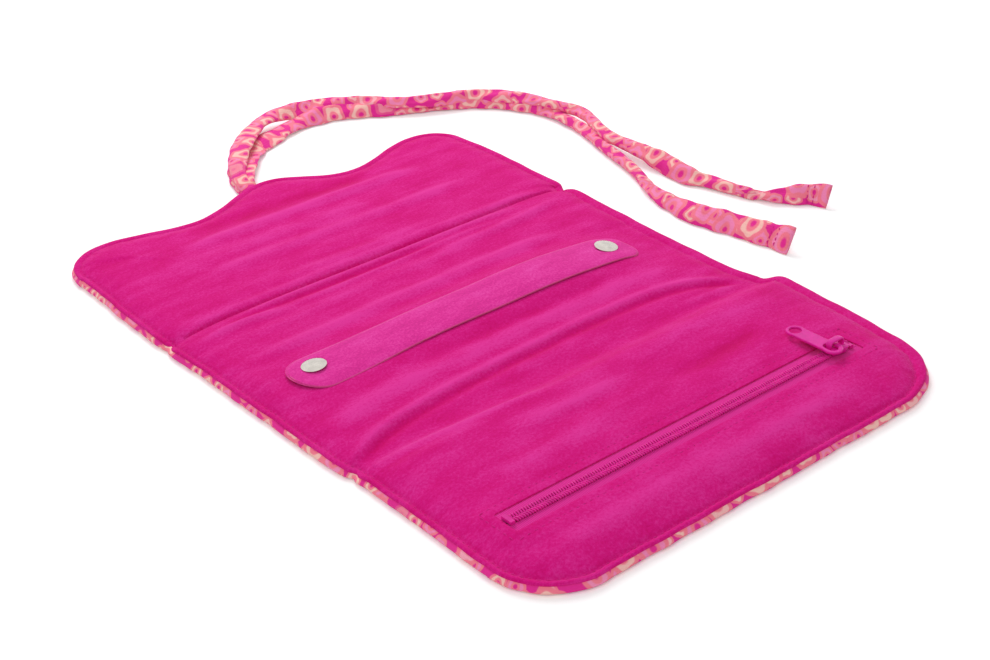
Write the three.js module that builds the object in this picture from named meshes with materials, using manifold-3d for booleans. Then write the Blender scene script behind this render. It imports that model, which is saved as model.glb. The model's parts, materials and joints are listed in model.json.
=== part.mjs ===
// Jewelry pouch that folds in three, lying open: a padded velvet lining in a printed outer cloth,
// with a ring strap held by snaps, a zip pocket and a pair of ties.
// Millimetres, +Z up, X across the pouch, +Y towards the flap.
// The origin is on the table, under the middle of the open pouch.

import * as THREE from 'three';
import { mergeVertices } from 'three/addons/utils/BufferGeometryUtils.js';
import Module from 'manifold-3d';

const wasm = await Module();
wasm.setup();

// Clearances
const GAP = 0.3; // between pieces that lie on each other
const FOLD_GAP = 0.6; // between two panels at a fold
const SLIDER_PLAY = 0.4; // beside the coil inside the zip slider
const TAB_PLAY = 0.4; // above and below the pull tab's ring

// Panels
const PANEL_WIDTH = 230;
const POCKET_LENGTH = 115;
const MIDDLE_LENGTH = 138;
const FLAP_LENGTH = 117; // from the fold to the tip
const FOLD_CORNER = 7; // radius that nips the outline in at the folds
const POCKET_CORNER = 30;
const FLAP_CORNER = 25;
const FLAP_DIP_X = 46; // the dips lie this far to each side of the tip
const FLAP_DIP_DEPTH = 17; // behind the tip
const FLAP_SHOULDER_DEPTH = 9; // behind the tip
const SHARPEST_CORNER = 1;
const CORNER_STEPS = 6;
const FLAP_EDGE_STEPS = 24;

// Outer cloth, a shallow tray round each panel
const OUTER_CLOTH = 0.8;
const RIM_HEIGHT = 4.2;
const RIM_ROLL = 2; // rounding of the lower edge

// Lining, with a lip outside the topstitched seam and a crown inside it
const LIP_HEIGHT = 2.4;
const LIP_ROLL = 1.6;
const SEAM_INSET = 5;
const SEAM_DEPTH = 0.6;
const SEAM_FLOOR = 1.2; // width of the seam's floor
const SEAM_SLOPE = 0.8; // width of each side of the seam
const CROWN_INSET = 14;
const CROWN_HEIGHT = 3; // above the underside of the lining
const CROWN_FULLNESS = 0.75; // share of the crown's rise that is reached halfway up its slope
const THREAD_WIDTH = 0.6;
const THREAD_HEIGHT = 0.5;

// Wadding
const WADDING_INSET = 3;
const WADDING_FOLD_SETBACK = 18; // keeps the wadding out of the folds

// Ring strap
const STRAP_WIDTH = 23;
const STRAP_Y = -4;
const STRAP_LEFT_MARGIN = 18; // from the side of the panel
const STRAP_RIGHT_MARGIN = 28;
const STRAP_LAYER = 0.8;
const STRAP_LIFT = 1.5; // above the lining, held there by the snaps
const STRAP_RIGHT_CORNER = 7;
const STRAP_BEND_SETBACK = 10; // from the left snap to the line about which the strap lifts
const STRAP_STEPS = 10;

// Snaps
const LEFT_SNAP_SETBACK = 12; // from the end of the strap
const RIGHT_SNAP_SETBACK = 10.5;
const CAP_RADIUS = 6;
const CAP_HEIGHT = 1.3;
const CAP_EDGE = 0.35;
const DOME_STEPS = 4;
const CAP_SHANK_RADIUS = 1.5;
const SOCKET_RADIUS = 5.2;
const SOCKET_HEIGHT = 2;
const SOCKET_ROOF = 0.5;
const STUD_FLANGE_RADIUS = 4.8;
const STUD_FLANGE = 0.7;
const STUD_RADIUS = 2.5;
const STUD_ROOF = 0.5;
const POST_FLANGE_RADIUS = 4.5;
const POST_FLANGE = 0.7;
const POST_RADIUS = 1.2;
const SNAP_SIDES = 20;

// Zip pocket
const POCKET_WADDING = 1.2;
const POCKET_LINING = 1.2;
const BAG_DEPTH = 5.7;
const BAG_WALL = 0.4;
const BAG_MARGIN = 0.8; // from the lining's crown to the side of the bag
const ZIP_Y = -141.5;
const ZIP_LEFT_MARGIN = 0.5; // from the crown to the end of a tape
const ZIP_RIGHT_MARGIN = 6;
const TAPE_THICKNESS = 0.5;
const TAPE_WIDTH = 11;
const TAPE_SPACING = 2.8; // between the two tapes
const TAPE_OVERHANG = 2.5; // past each end of the window
const WINDOW_WIDTH = 13.6;
const WINDOW_CORNER = 0.6;
const WINDOW_STITCH_MARGIN = 4;

// Zip coil and stops
const COIL_WIDTH = 5.6;
const COIL_HEIGHT = 1.4;
const COIL_SPINE = 1.4;
const COIL_PITCH = 3;
const COIL_TOOTH = 1;
const COIL_REACH = 0.7; // of a tooth, past the middle of the zip
const STOP_LENGTH = 2;
const STOP_WIDTH = 1.8;
const TOP_STOP_SETBACK = 3; // from the end of the window
const BOTTOM_STOP_SETBACK = 0.5;
const STOP_PLAY = 0.5; // from the slider to a stop

// Zip slider and pull tab
const SLIDER_LENGTH = 11;
const SLIDER_PLATE = 0.9;
const SLIDER_WALL = 0.8;
const SLIDER_CORNER = 2.6;
const WEDGE_LENGTH = 2.6;
const WEDGE_WIDTH = 2;
const BRIDGE_SPAN = 7.6; // between the middles of its legs
const BRIDGE_RADIUS = 0.8;
const LEG_RADIUS = 0.9;
const TAB_LENGTH = 22; // from the leg that the tab turns on to its tip
const TAB_WIDTH = 5.8;
const TAB_THICKNESS = 1.2;
const TAB_END_RADIUS = 3.7;
const TAB_RING_BORE = 2.4; // radius
const TAB_HOLE_RADIUS = 2.6;
const TAB_SIDES = 12;

// Ties, flat tubes of printed cotton that lie on the table
const TIE_WIDTH = 14;
const TIE_THICKNESS = 2.6;
const TIE_SIDES = 8;
const TIE_STEPS = 96;
const TIE_START_X = 1;
const LOWER_TIE_ROUTE = [
  [3, 197, 1.6], [9, 211, 1.5], [20, 226, 1.5], [34, 236.5, 1.5], [48, 242.5, 1.5], [62, 246.5, 1.5],
  [75, 248.5, 1.5], [88, 247.5, 1.5], [99, 243.5, 1.5], [108.5, 237, 1.5], [127, 223.5, 1.5],
  [147, 211, 1.5], [157, 205, 1.5], [166, 197.5, 1.5], [173, 188, 1.5], [178, 176, 1.5], [181, 163, 1.5],
  [181.5, 149.5, 1.5], [180.5, 136, 1.5], [178, 122.5, 1.5], [173.5, 108, 1.5], [168.5, 93.5, 1.5],
  [164.5, 79, 1.5], [160.5, 65.5, 1.5], [155, 52.5, 1.5], [149.5, 40, 1.5], [146, 28, 1.5],
  [145, 16.5, 1.5], [145.7, 5.5, 1.5], [150, -16.5, 1.5], [154, -39, 1.5], [155.5, -49.5, 1.5],
];
const UPPER_TIE_ROUTE = [
  [2, 197, 4.6], [8, 212, 4.6], [20, 229, 4.6], [35, 244.5, 4.6], [50, 255.5, 4.6], [63.5, 260.5, 4.6],
  [75, 259.5, 4.6], [86, 254.5, 4.6], [95.5, 248, 4.6], [113.5, 234, 4.6], [131, 219, 4.6],
  [151, 207, 4.6], [160.5, 200, 4.6], [169, 191.5, 4.6], [175.5, 181.5, 4.6], [180.5, 170, 4.6],
  [185, 158, 4.6], [188.5, 148, 4.6], [190.3, 138, 4.6], [188, 125, 4.6], [182, 111, 4.6],
  [177, 97, 4.6], [175.5, 84, 4.6], [175.3, 71, 4.6], [175.3, 60, 4], [175.8, 48, 2.4], [176.5, 38, 1.6],
  [177.5, 27, 1.5], [178.7, 16, 1.5], [180.3, 5, 1.5], [184, -5, 1.5], [190.5, -12, 1.5],
  [198, -18, 1.5], [203, -24.5, 1.5], [206, -32, 1.5],
];

// Finishes
const velvet = new THREE.MeshStandardMaterial({ color: 0xd8237f, roughness: 0.95, flatShading: true });
const print = new THREE.MeshStandardMaterial({ color: 0xe0728f, roughness: 0.9, flatShading: true });
const tiePrint = new THREE.MeshStandardMaterial({ color: 0xe58a9a, roughness: 0.9, flatShading: true });
const wadding = new THREE.MeshStandardMaterial({ color: 0xf2efe8, roughness: 1, flatShading: true });
const pocketCotton = new THREE.MeshStandardMaterial({ color: 0xb81c68, roughness: 0.9, flatShading: true });
const suede = new THREE.MeshStandardMaterial({ color: 0xd6338c, roughness: 0.92, flatShading: true });
const thread = new THREE.MeshStandardMaterial({ color: 0xb3155f, roughness: 0.8, flatShading: true });
const zipTape = new THREE.MeshStandardMaterial({ color: 0xc01d6f, roughness: 0.85, flatShading: true });
const zipNylon = new THREE.MeshStandardMaterial({ color: 0xd42a84, roughness: 0.5, flatShading: true });
const zipEnamel = new THREE.MeshStandardMaterial({ color: 0xe63ca0, roughness: 0.35, flatShading: true });
const nickel = new THREE.MeshStandardMaterial({
  color: 0xd9d1cb, roughness: 0.25, metalness: 1, flatShading: true,
});

// Places along the pouch
const nearEdge = -(POCKET_LENGTH + MIDDLE_LENGTH + FLAP_LENGTH) / 2;
const pocketFold = nearEdge + POCKET_LENGTH;
const flapFold = pocketFold + MIDDLE_LENGTH;
const flapTip = flapFold + FLAP_LENGTH;

// Heights of the panels
const lipBottom = RIM_HEIGHT + GAP;
const lipTop = lipBottom + LIP_HEIGHT;
const seamFloorZ = lipTop - SEAM_DEPTH;
const crownTop = lipBottom + CROWN_HEIGHT;

// Places along the strap
const strapLeftX = STRAP_LEFT_MARGIN - PANEL_WIDTH / 2;
const strapRightX = PANEL_WIDTH / 2 - STRAP_RIGHT_MARGIN;
const leftSnapX = strapLeftX + LEFT_SNAP_SETBACK;
const rightSnapX = strapRightX - RIGHT_SNAP_SETBACK;
const strapBendX = leftSnapX + STRAP_BEND_SETBACK;

// Heights of the strap and its snaps, from the strap down
const strapBottom = crownTop + STRAP_LIFT;
const strapTopLayer = strapBottom + STRAP_LAYER + GAP;
const capSeat = strapTopLayer + STRAP_LAYER + GAP;
const socketTop = strapBottom - GAP;
const socketBottom = socketTop - SOCKET_HEIGHT;
const studFlangeTop = socketBottom - GAP;
const studBottom = studFlangeTop - STUD_FLANGE;
const recessFloor = studBottom - GAP;
const studTop = socketTop - SOCKET_ROOF - GAP;
const postTop = lipBottom - GAP;
const snapHole = CAP_SHANK_RADIUS + GAP;
const postHole = POST_RADIUS + GAP;

// Heights of the zip pocket
const bagBottom = OUTER_CLOTH + GAP + POCKET_WADDING + GAP;
const bagTop = bagBottom + BAG_DEPTH;
const tapeBottom = bagTop + GAP;
const tapeTop = tapeBottom + TAPE_THICKNESS;
const pocketTop = tapeTop + GAP + POCKET_LINING;
const coilBottom = tapeTop + GAP;
const coilTop = coilBottom + COIL_HEIGHT;
const sliderBottom = tapeBottom - GAP - SLIDER_PLATE;
const sliderTop = coilTop + GAP + SLIDER_PLATE;
const tabBottom = sliderTop + TAB_PLAY;
const tabTop = tabBottom + TAB_THICKNESS;
const bridgeZ = tabTop + TAB_PLAY + BRIDGE_RADIUS;

// Places along and across the zip
const crownUnderside = CROWN_INSET + POCKET_LINING;
const tapeLeft = -PANEL_WIDTH / 2 + crownUnderside + ZIP_LEFT_MARGIN;
const tapeRight = PANEL_WIDTH / 2 - crownUnderside - ZIP_RIGHT_MARGIN;
const windowLeft = tapeLeft + TAPE_OVERHANG;
const windowRight = tapeRight - TAPE_OVERHANG;
const sliderWidth = COIL_WIDTH + 2 * (SLIDER_PLAY + SLIDER_WALL);
const topStopLeft = windowRight - TOP_STOP_SETBACK - STOP_LENGTH;
const sliderX = topStopLeft - STOP_PLAY - SLIDER_LENGTH / 2;
const wedgeLeft = SLIDER_LENGTH / 2 - WEDGE_LENGTH;
const bottomStopRight = windowLeft + BOTTOM_STOP_SETBACK + STOP_LENGTH;
const coilLeft = bottomStopRight + GAP;
const coilRight = sliderX + wedgeLeft - GAP;

// Solids that manifold-3d joins and cuts
function toSolid(geometry) {
  const bare = geometry.clone();
  bare.deleteAttribute('normal');
  bare.deleteAttribute('uv');
  const merged = mergeVertices(bare);
  return new wasm.Manifold(new wasm.Mesh({
    numProp: 3,
    vertProperties: new Float32Array(merged.attributes.position.array),
    triVerts: new Uint32Array(merged.index.array),
  }));
}

function toGeometry(solid) {
  const mesh = solid.getMesh();
  const geometry = new THREE.BufferGeometry();
  geometry.setAttribute('position', new THREE.BufferAttribute(mesh.vertProperties, 3));
  geometry.setIndex(new THREE.BufferAttribute(mesh.triVerts, 1));
  return geometry;
}

function cut(geometry, ...tools) {
  return toGeometry(tools.reduce((solid, tool) => solid.subtract(toSolid(tool)), toSolid(geometry)));
}

function join(...geometries) {
  return toGeometry(geometries.map(toSolid).reduce((whole, solid) => whole.add(solid)));
}

// Plain shapes, placed by their limits
function block(xLow, xHigh, yLow, yHigh, zLow, zHigh) {
  const geometry = new THREE.BoxGeometry(xHigh - xLow, yHigh - yLow, zHigh - zLow);
  return geometry.translate((xLow + xHigh) / 2, (yLow + yHigh) / 2, (zLow + zHigh) / 2);
}

function upright(points, zLow, zHigh) {
  const geometry = new THREE.ExtrudeGeometry(new THREE.Shape(points), {
    depth: zHigh - zLow, bevelEnabled: false, steps: 1,
  });
  return geometry.translate(0, 0, zLow);
}

function drum(x, y, radius, zLow, zHigh) {
  const geometry = new THREE.CylinderGeometry(radius, radius, zHigh - zLow, SNAP_SIDES);
  return geometry.rotateX(Math.PI / 2).translate(x, y, (zLow + zHigh) / 2);
}

function turned(x, y, profile) {
  const points = profile.map(([radius, z]) => new THREE.Vector2(radius, z));
  return new THREE.LatheGeometry(points, SNAP_SIDES).rotateX(Math.PI / 2).translate(x, y, 0);
}

function addArc(points, x, y, radius, from, to, steps) {
  for (let step = 0; step <= steps; step += 1) {
    const angle = THREE.MathUtils.lerp(from, to, step / steps);
    points.push(new THREE.Vector2(x + radius * Math.cos(angle), y + radius * Math.sin(angle)));
  }
}

function roundedBox(xLow, xHigh, yLow, yHigh, leftRadius, rightRadius, steps) {
  const points = [];
  addArc(points, xLow + leftRadius, yLow + leftRadius, leftRadius, Math.PI, 1.5 * Math.PI, steps);
  addArc(points, xHigh - rightRadius, yLow + rightRadius, rightRadius, 1.5 * Math.PI, 2 * Math.PI, steps);
  addArc(points, xHigh - rightRadius, yHigh - rightRadius, rightRadius, 0, 0.5 * Math.PI, steps);
  addArc(points, xLow + leftRadius, yHigh - leftRadius, leftRadius, 0.5 * Math.PI, Math.PI, steps);
  return points;
}

// Outlines of the panels: the same number of points at every inset
const straightEdge = { steps: 1, depth: () => 0 };

const bracketEdge = {
  steps: FLAP_EDGE_STEPS,
  depth: (x) => {
    const shoulderX = PANEL_WIDTH / 2 - FLAP_CORNER;
    const side = Math.min(Math.abs(x), shoulderX);
    if (side < FLAP_DIP_X) {
      return FLAP_DIP_DEPTH * (1 - Math.cos((Math.PI * side) / FLAP_DIP_X)) / 2;
    }
    const along = (side - FLAP_DIP_X) / (shoulderX - FLAP_DIP_X);
    const fall = (1 - Math.cos(Math.PI * along)) / 2;
    return THREE.MathUtils.lerp(FLAP_DIP_DEPTH, FLAP_SHOULDER_DEPTH, fall);
  },
};

const middlePanel = {
  near: pocketFold + FOLD_GAP / 2, far: flapFold - FOLD_GAP / 2,
  nearRadius: FOLD_CORNER, farRadius: FOLD_CORNER, farEdge: straightEdge,
};
const flapPanel = {
  near: flapFold + FOLD_GAP / 2, far: flapTip,
  nearRadius: FOLD_CORNER, farRadius: FLAP_CORNER, farEdge: bracketEdge,
};
const pocketPanel = {
  near: nearEdge, far: pocketFold - FOLD_GAP / 2,
  nearRadius: POCKET_CORNER, farRadius: FOLD_CORNER, farEdge: straightEdge,
};

function outline(panel, inset) {
  const half = PANEL_WIDTH / 2 - inset;
  const nearRadius = Math.max(panel.nearRadius - inset, SHARPEST_CORNER);
  const farRadius = Math.max(panel.farRadius - inset, SHARPEST_CORNER);
  const nearY = panel.near + inset + nearRadius;
  const farX = half - farRadius;
  const farY = panel.far - inset - panel.farEdge.depth(farX);
  const points = [];
  addArc(points, nearRadius - half, nearY, nearRadius, Math.PI, 1.5 * Math.PI, CORNER_STEPS);
  addArc(points, half - nearRadius, nearY, nearRadius, 1.5 * Math.PI, 2 * Math.PI, CORNER_STEPS);
  addArc(points, farX, farY - farRadius, farRadius, 0, 0.5 * Math.PI, CORNER_STEPS);
  for (let step = 1; step < panel.farEdge.steps; step += 1) {
    const x = THREE.MathUtils.lerp(farX, -farX, step / panel.farEdge.steps);
    points.push(new THREE.Vector2(x, panel.far - inset - panel.farEdge.depth(x)));
  }
  addArc(points, -farX, farY - farRadius, farRadius, 0.5 * Math.PI, Math.PI, CORNER_STEPS);
  return points;
}

// Solids that follow a panel's outline, from a list of [inset, z] rings
function ringMesh(panel, profile, closed) {
  const rings = profile.map(([inset, z]) => outline(panel, inset).map((p) => [p.x, p.y, z]));
  const count = rings[0].length;
  const triangles = [];
  const spans = closed ? rings.length : rings.length - 1;
  for (let ring = 0; ring < spans; ring += 1) {
    const low = ring * count;
    const high = ((ring + 1) % rings.length) * count;
    for (let point = 0; point < count; point += 1) {
      const next = (point + 1) % count;
      triangles.push(low + point, low + next, high + next, low + point, high + next, high + point);
    }
  }
  return { positions: rings.flat(2), triangles, count };
}

function ringGeometry({ positions, triangles }) {
  const geometry = new THREE.BufferGeometry();
  geometry.setAttribute('position', new THREE.Float32BufferAttribute(positions, 3));
  geometry.setIndex(triangles);
  return geometry;
}

function shell(panel, profile) {
  const mesh = ringMesh(panel, profile, false);
  const firstInset = profile[0][0];
  const lastInset = profile.at(-1)[0];
  const lastRing = (profile.length - 1) * mesh.count;
  for (const [a, b, c] of THREE.ShapeUtils.triangulateShape(outline(panel, firstInset), [])) {
    mesh.triangles.push(a, c, b);
  }
  for (const [a, b, c] of THREE.ShapeUtils.triangulateShape(outline(panel, lastInset), [])) {
    mesh.triangles.push(lastRing + a, lastRing + b, lastRing + c);
  }
  return ringGeometry(mesh);
}

function band(panel, inset, width, zLow, zHigh) {
  const outside = inset - width / 2;
  const inside = inset + width / 2;
  const section = [[outside, zLow], [outside, zHigh], [inside, zHigh], [inside, zLow]];
  return ringGeometry(ringMesh(panel, section, true));
}

// Panel pieces
function outerCloth(panel) {
  return shell(panel, [
    [RIM_ROLL, 0],
    [RIM_ROLL / 4, RIM_ROLL / 4],
    [0, RIM_ROLL],
    [0, RIM_HEIGHT],
    [OUTER_CLOTH, RIM_HEIGHT],
    [OUTER_CLOTH, RIM_ROLL],
    [RIM_ROLL / 4 + OUTER_CLOTH, RIM_ROLL / 4 + OUTER_CLOTH / 2],
    [RIM_ROLL, OUTER_CLOTH],
  ]);
}

const seamSide = SEAM_FLOOR / 2 + SEAM_SLOPE;
const slopeInset = (SEAM_INSET + seamSide + CROWN_INSET) / 2;

function liningRings(top) {
  return [
    [0, lipBottom],
    [0, lipBottom + LIP_HEIGHT / 2],
    [LIP_ROLL / 3, lipTop - LIP_HEIGHT / 6],
    [LIP_ROLL, lipTop],
    [SEAM_INSET - seamSide, lipTop],
    [SEAM_INSET - SEAM_FLOOR / 2, seamFloorZ],
    [SEAM_INSET + SEAM_FLOOR / 2, seamFloorZ],
    [SEAM_INSET + seamSide, lipTop],
    [slopeInset, THREE.MathUtils.lerp(lipTop, top, CROWN_FULLNESS)],
    [CROWN_INSET, top],
  ];
}

function lining(panel) {
  return shell(panel, liningRings(crownTop));
}

function domedLining(panel) {
  const under = pocketTop - POCKET_LINING;
  const foot = lipBottom + POCKET_LINING / 2;
  return shell(panel, [
    [crownUnderside, under],
    [slopeInset + POCKET_LINING, THREE.MathUtils.lerp(foot, under, CROWN_FULLNESS)],
    [SEAM_INSET + POCKET_LINING, foot],
    [POCKET_LINING + LIP_ROLL, foot],
    [POCKET_LINING, lipBottom],
    ...liningRings(pocketTop),
  ]);
}

function waddingSlab(xHalf, yLow, yHigh, zLow, zHigh) {
  const plan = roundedBox(-xHalf, xHalf, yLow, yHigh, FOLD_CORNER, FOLD_CORNER, CORNER_STEPS);
  return upright(plan, zLow, zHigh);
}

function edgeThread(panel) {
  const bottom = seamFloorZ + GAP;
  return band(panel, SEAM_INSET, THREAD_WIDTH, bottom, bottom + THREAD_HEIGHT);
}

// Snap pieces, each turned about the snap's own axis
function snapCap(x) {
  const shankEnd = socketTop - SOCKET_ROOF;
  const profile = [
    [0, shankEnd],
    [CAP_SHANK_RADIUS, shankEnd],
    [CAP_SHANK_RADIUS, capSeat],
    [CAP_RADIUS, capSeat],
  ];
  for (let step = 0; step < DOME_STEPS; step += 1) {
    const angle = (Math.PI / 2) * (step / DOME_STEPS);
    const rise = CAP_EDGE + (CAP_HEIGHT - CAP_EDGE) * Math.sin(angle);
    profile.push([CAP_RADIUS * Math.cos(angle), capSeat + rise]);
  }
  return turned(x, STRAP_Y, [...profile, [0, capSeat + CAP_HEIGHT]]);
}

function snapSocket(x) {
  const bore = STUD_RADIUS + GAP;
  return turned(x, STRAP_Y, [
    [bore, socketBottom],
    [SOCKET_RADIUS, socketBottom],
    [SOCKET_RADIUS, socketTop],
    [snapHole, socketTop],
    [snapHole, socketTop - SOCKET_ROOF],
    [bore, socketTop - SOCKET_ROOF],
    [bore, socketBottom],
  ]);
}

function snapStud(x) {
  return turned(x, STRAP_Y, [
    [0, studTop - STUD_ROOF],
    [postHole, studTop - STUD_ROOF],
    [postHole, studBottom],
    [STUD_FLANGE_RADIUS, studBottom],
    [STUD_FLANGE_RADIUS, studFlangeTop],
    [STUD_RADIUS, studFlangeTop],
    [STUD_RADIUS, studTop],
    [0, studTop],
  ]);
}

function snapPost(x) {
  return turned(x, STRAP_Y, [
    [0, postTop - POST_FLANGE],
    [POST_FLANGE_RADIUS, postTop - POST_FLANGE],
    [POST_FLANGE_RADIUS, postTop],
    [POST_RADIUS, postTop],
    [POST_RADIUS, studTop - STUD_ROOF - GAP],
    [0, studTop - STUD_ROOF - GAP],
  ]);
}

// Middle panel, with the snap recesses in the lining and pits for the posts in the wadding
const snapPlaces = [leftSnapX, rightSnapX];

function middleLining() {
  const recessRadius = SOCKET_RADIUS + GAP;
  const recesses = snapPlaces.map((x) => drum(x, STRAP_Y, recessRadius, recessFloor, crownTop + GAP));
  const holes = snapPlaces.map((x) => drum(x, STRAP_Y, postHole, lipBottom - GAP, recessFloor + GAP));
  return cut(lining(middlePanel), ...recesses, ...holes);
}

function middleWadding() {
  const low = OUTER_CLOTH + GAP;
  const slab = waddingSlab(
    PANEL_WIDTH / 2 - WADDING_INSET,
    middlePanel.near + WADDING_FOLD_SETBACK, middlePanel.far - WADDING_FOLD_SETBACK,
    low, postTop,
  );
  const pitRadius = POST_FLANGE_RADIUS + GAP;
  const pitFloor = postTop - POST_FLANGE - GAP;
  return cut(slab, ...snapPlaces.map((x) => drum(x, STRAP_Y, pitRadius, pitFloor, lipBottom)));
}

// Ring strap: one outline, cut at the line where the strap bends up
function strapLayer(z, xLow, xHigh, snapX) {
  const whole = roundedBox(
    strapLeftX, strapRightX, STRAP_Y - STRAP_WIDTH / 2, STRAP_Y + STRAP_WIDTH / 2,
    STRAP_WIDTH / 2, STRAP_RIGHT_CORNER, STRAP_STEPS,
  );
  const layer = toSolid(upright(whole, z, z + STRAP_LAYER));
  const part = layer.intersect(toSolid(block(
    xLow, xHigh, STRAP_Y - STRAP_WIDTH, STRAP_Y + STRAP_WIDTH, z - STRAP_LAYER, z + 2 * STRAP_LAYER,
  )));
  const hole = drum(snapX, STRAP_Y, snapHole, z - STRAP_LAYER, z + 2 * STRAP_LAYER);
  return toGeometry(part.subtract(toSolid(hole)));
}

function anchorLayer(z) {
  return strapLayer(z, strapLeftX - STRAP_WIDTH, strapBendX - GAP / 2, leftSnapX);
}

function liftingLayer(z) {
  return strapLayer(z, strapBendX + GAP / 2, strapRightX + STRAP_WIDTH, rightSnapX);
}

// Zip pocket
function zipWindow(margin, zLow, zHigh) {
  const half = WINDOW_WIDTH / 2 + margin;
  return upright(roundedBox(
    windowLeft - margin, windowRight + margin, ZIP_Y - half, ZIP_Y + half,
    WINDOW_CORNER, WINDOW_CORNER, CORNER_STEPS,
  ), zLow, zHigh);
}

function pocketLining() {
  return cut(domedLining(pocketPanel), zipWindow(0, tapeTop, pocketTop + GAP));
}

function pocketBag() {
  const inset = crownUnderside + BAG_MARGIN;
  const outside = upright(outline(pocketPanel, inset), bagBottom, bagTop);
  const inside = upright(outline(pocketPanel, inset + BAG_WALL), bagBottom + BAG_WALL, bagTop - BAG_WALL);
  return cut(outside, inside, zipWindow(0, bagTop - 2 * BAG_WALL, bagTop + GAP));
}

function windowThread() {
  const bottom = pocketTop + GAP;
  const top = bottom + THREAD_HEIGHT;
  const outside = zipWindow(WINDOW_STITCH_MARGIN + THREAD_WIDTH / 2, bottom, top);
  const inside = zipWindow(WINDOW_STITCH_MARGIN - THREAD_WIDTH / 2, bottom - GAP, top + GAP);
  return cut(outside, inside);
}

function zipTapeStrip(side) {
  const edges = [side * TAPE_SPACING / 2, side * (TAPE_SPACING / 2 + TAPE_WIDTH)].sort((a, b) => a - b);
  return block(tapeLeft, tapeRight, ZIP_Y + edges[0], ZIP_Y + edges[1], tapeBottom, tapeTop);
}

// One half of the coil: a spine along the tape with teeth that reach between the other half's
function coilHalf(side) {
  const spineOut = COIL_WIDTH / 2;
  const spineIn = spineOut - COIL_SPINE;
  const shift = side > 0 ? 0 : COIL_PITCH / 2;
  const toothCount = Math.floor((coilRight - coilLeft - shift - COIL_TOOTH) / COIL_PITCH);
  const points = [[coilLeft, spineOut], [coilLeft, spineIn]];
  for (let tooth = 0; tooth < toothCount; tooth += 1) {
    const left = coilLeft + shift + COIL_TOOTH / 2 + tooth * COIL_PITCH;
    points.push([left, spineIn], [left, -COIL_REACH]);
    points.push([left + COIL_TOOTH, -COIL_REACH], [left + COIL_TOOTH, spineIn]);
  }
  points.push([coilRight, spineIn], [coilRight, spineOut]);
  const placed = points.map(([x, y]) => new THREE.Vector2(x, ZIP_Y + side * y));
  return upright(placed, coilBottom, coilTop);
}

function topStop(side) {
  const middle = side * (TAPE_SPACING / 2 + STOP_WIDTH / 2);
  return block(
    topStopLeft, topStopLeft + STOP_LENGTH,
    ZIP_Y + middle - STOP_WIDTH / 2, ZIP_Y + middle + STOP_WIDTH / 2, coilBottom, coilTop,
  );
}

function bottomStop() {
  const half = COIL_WIDTH / 2;
  const left = bottomStopRight - STOP_LENGTH;
  return block(left, bottomStopRight, ZIP_Y - half, ZIP_Y + half, coilBottom, coilTop);
}

// Zip slider, about its own middle: two plates held together by the wedge, and a bridge for the tab
function sliderBody() {
  const half = SLIDER_LENGTH / 2;
  const side = sliderWidth / 2;
  const plan = roundedBox(-half, half, -side, side, SLIDER_CORNER, SLIDER_CORNER, CORNER_STEPS);
  const channel = COIL_WIDTH / 2 + SLIDER_PLAY;
  const roof = sliderTop - SLIDER_PLATE;
  const cover = cut(
    upright(plan, coilBottom, sliderTop),
    block(-SLIDER_LENGTH, SLIDER_LENGTH, -channel, channel, tapeTop, roof),
  );
  const floor = sliderBottom + SLIDER_PLATE;
  const base = upright(plan, sliderBottom, floor);
  const wedge = block(
    wedgeLeft, half - SLIDER_WALL / 2, -WEDGE_WIDTH / 2, WEDGE_WIDTH / 2,
    floor - SLIDER_PLATE / 2, roof + SLIDER_PLATE / 2,
  );
  const bar = new THREE.CylinderGeometry(
    BRIDGE_RADIUS, BRIDGE_RADIUS, BRIDGE_SPAN + LEG_RADIUS, TAB_SIDES,
  ).rotateZ(Math.PI / 2).translate(0, 0, bridgeZ);
  const legs = [-1, 1].map((end) => {
    const foot = roof + SLIDER_PLATE / 2;
    return drum(end * BRIDGE_SPAN / 2, 0, LEG_RADIUS, foot, bridgeZ + BRIDGE_RADIUS / 2);
  });
  return join(cover, base, wedge, bar, ...legs);
}

// Pull tab, about the leg that it turns on: a ring round the leg, a flat bar and a holed tip
function pullTab() {
  const tipY = TAB_LENGTH - TAB_END_RADIUS;
  const half = TAB_WIDTH / 2;
  const whole = join(
    drum(0, 0, TAB_END_RADIUS, tabBottom, tabTop),
    block(-half, half, 0, tipY, tabBottom, tabTop),
    drum(0, tipY, TAB_END_RADIUS, tabBottom, tabTop),
  );
  const [low, high] = [tabBottom - GAP, tabTop + GAP];
  return cut(whole, drum(0, 0, TAB_RING_BORE, low, high), drum(0, tipY, TAB_HOLE_RADIUS, low, high));
}

// Ties: a flat tube along each route, from the seam at the flap's tip
function tie(route, startZ) {
  const start = new THREE.Vector3(TIE_START_X, flapTip + GAP, startZ);
  const path = new THREE.CatmullRomCurve3([start, ...route.map((point) => new THREE.Vector3(...point))]);
  const section = [];
  for (let side = 0; side < TIE_SIDES; side += 1) {
    const angle = (2 * Math.PI * (side + 0.5)) / TIE_SIDES;
    section.push(new THREE.Vector2(Math.cos(angle) * TIE_THICKNESS / 2, Math.sin(angle) * TIE_WIDTH / 2));
  }
  return new THREE.ExtrudeGeometry(new THREE.Shape(section), { extrudePath: path, steps: TIE_STEPS });
}

// The assembly
function addPiece(group, name, geometry, material) {
  const mesh = new THREE.Mesh(geometry, material);
  mesh.name = name;
  group.add(mesh);
}

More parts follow.
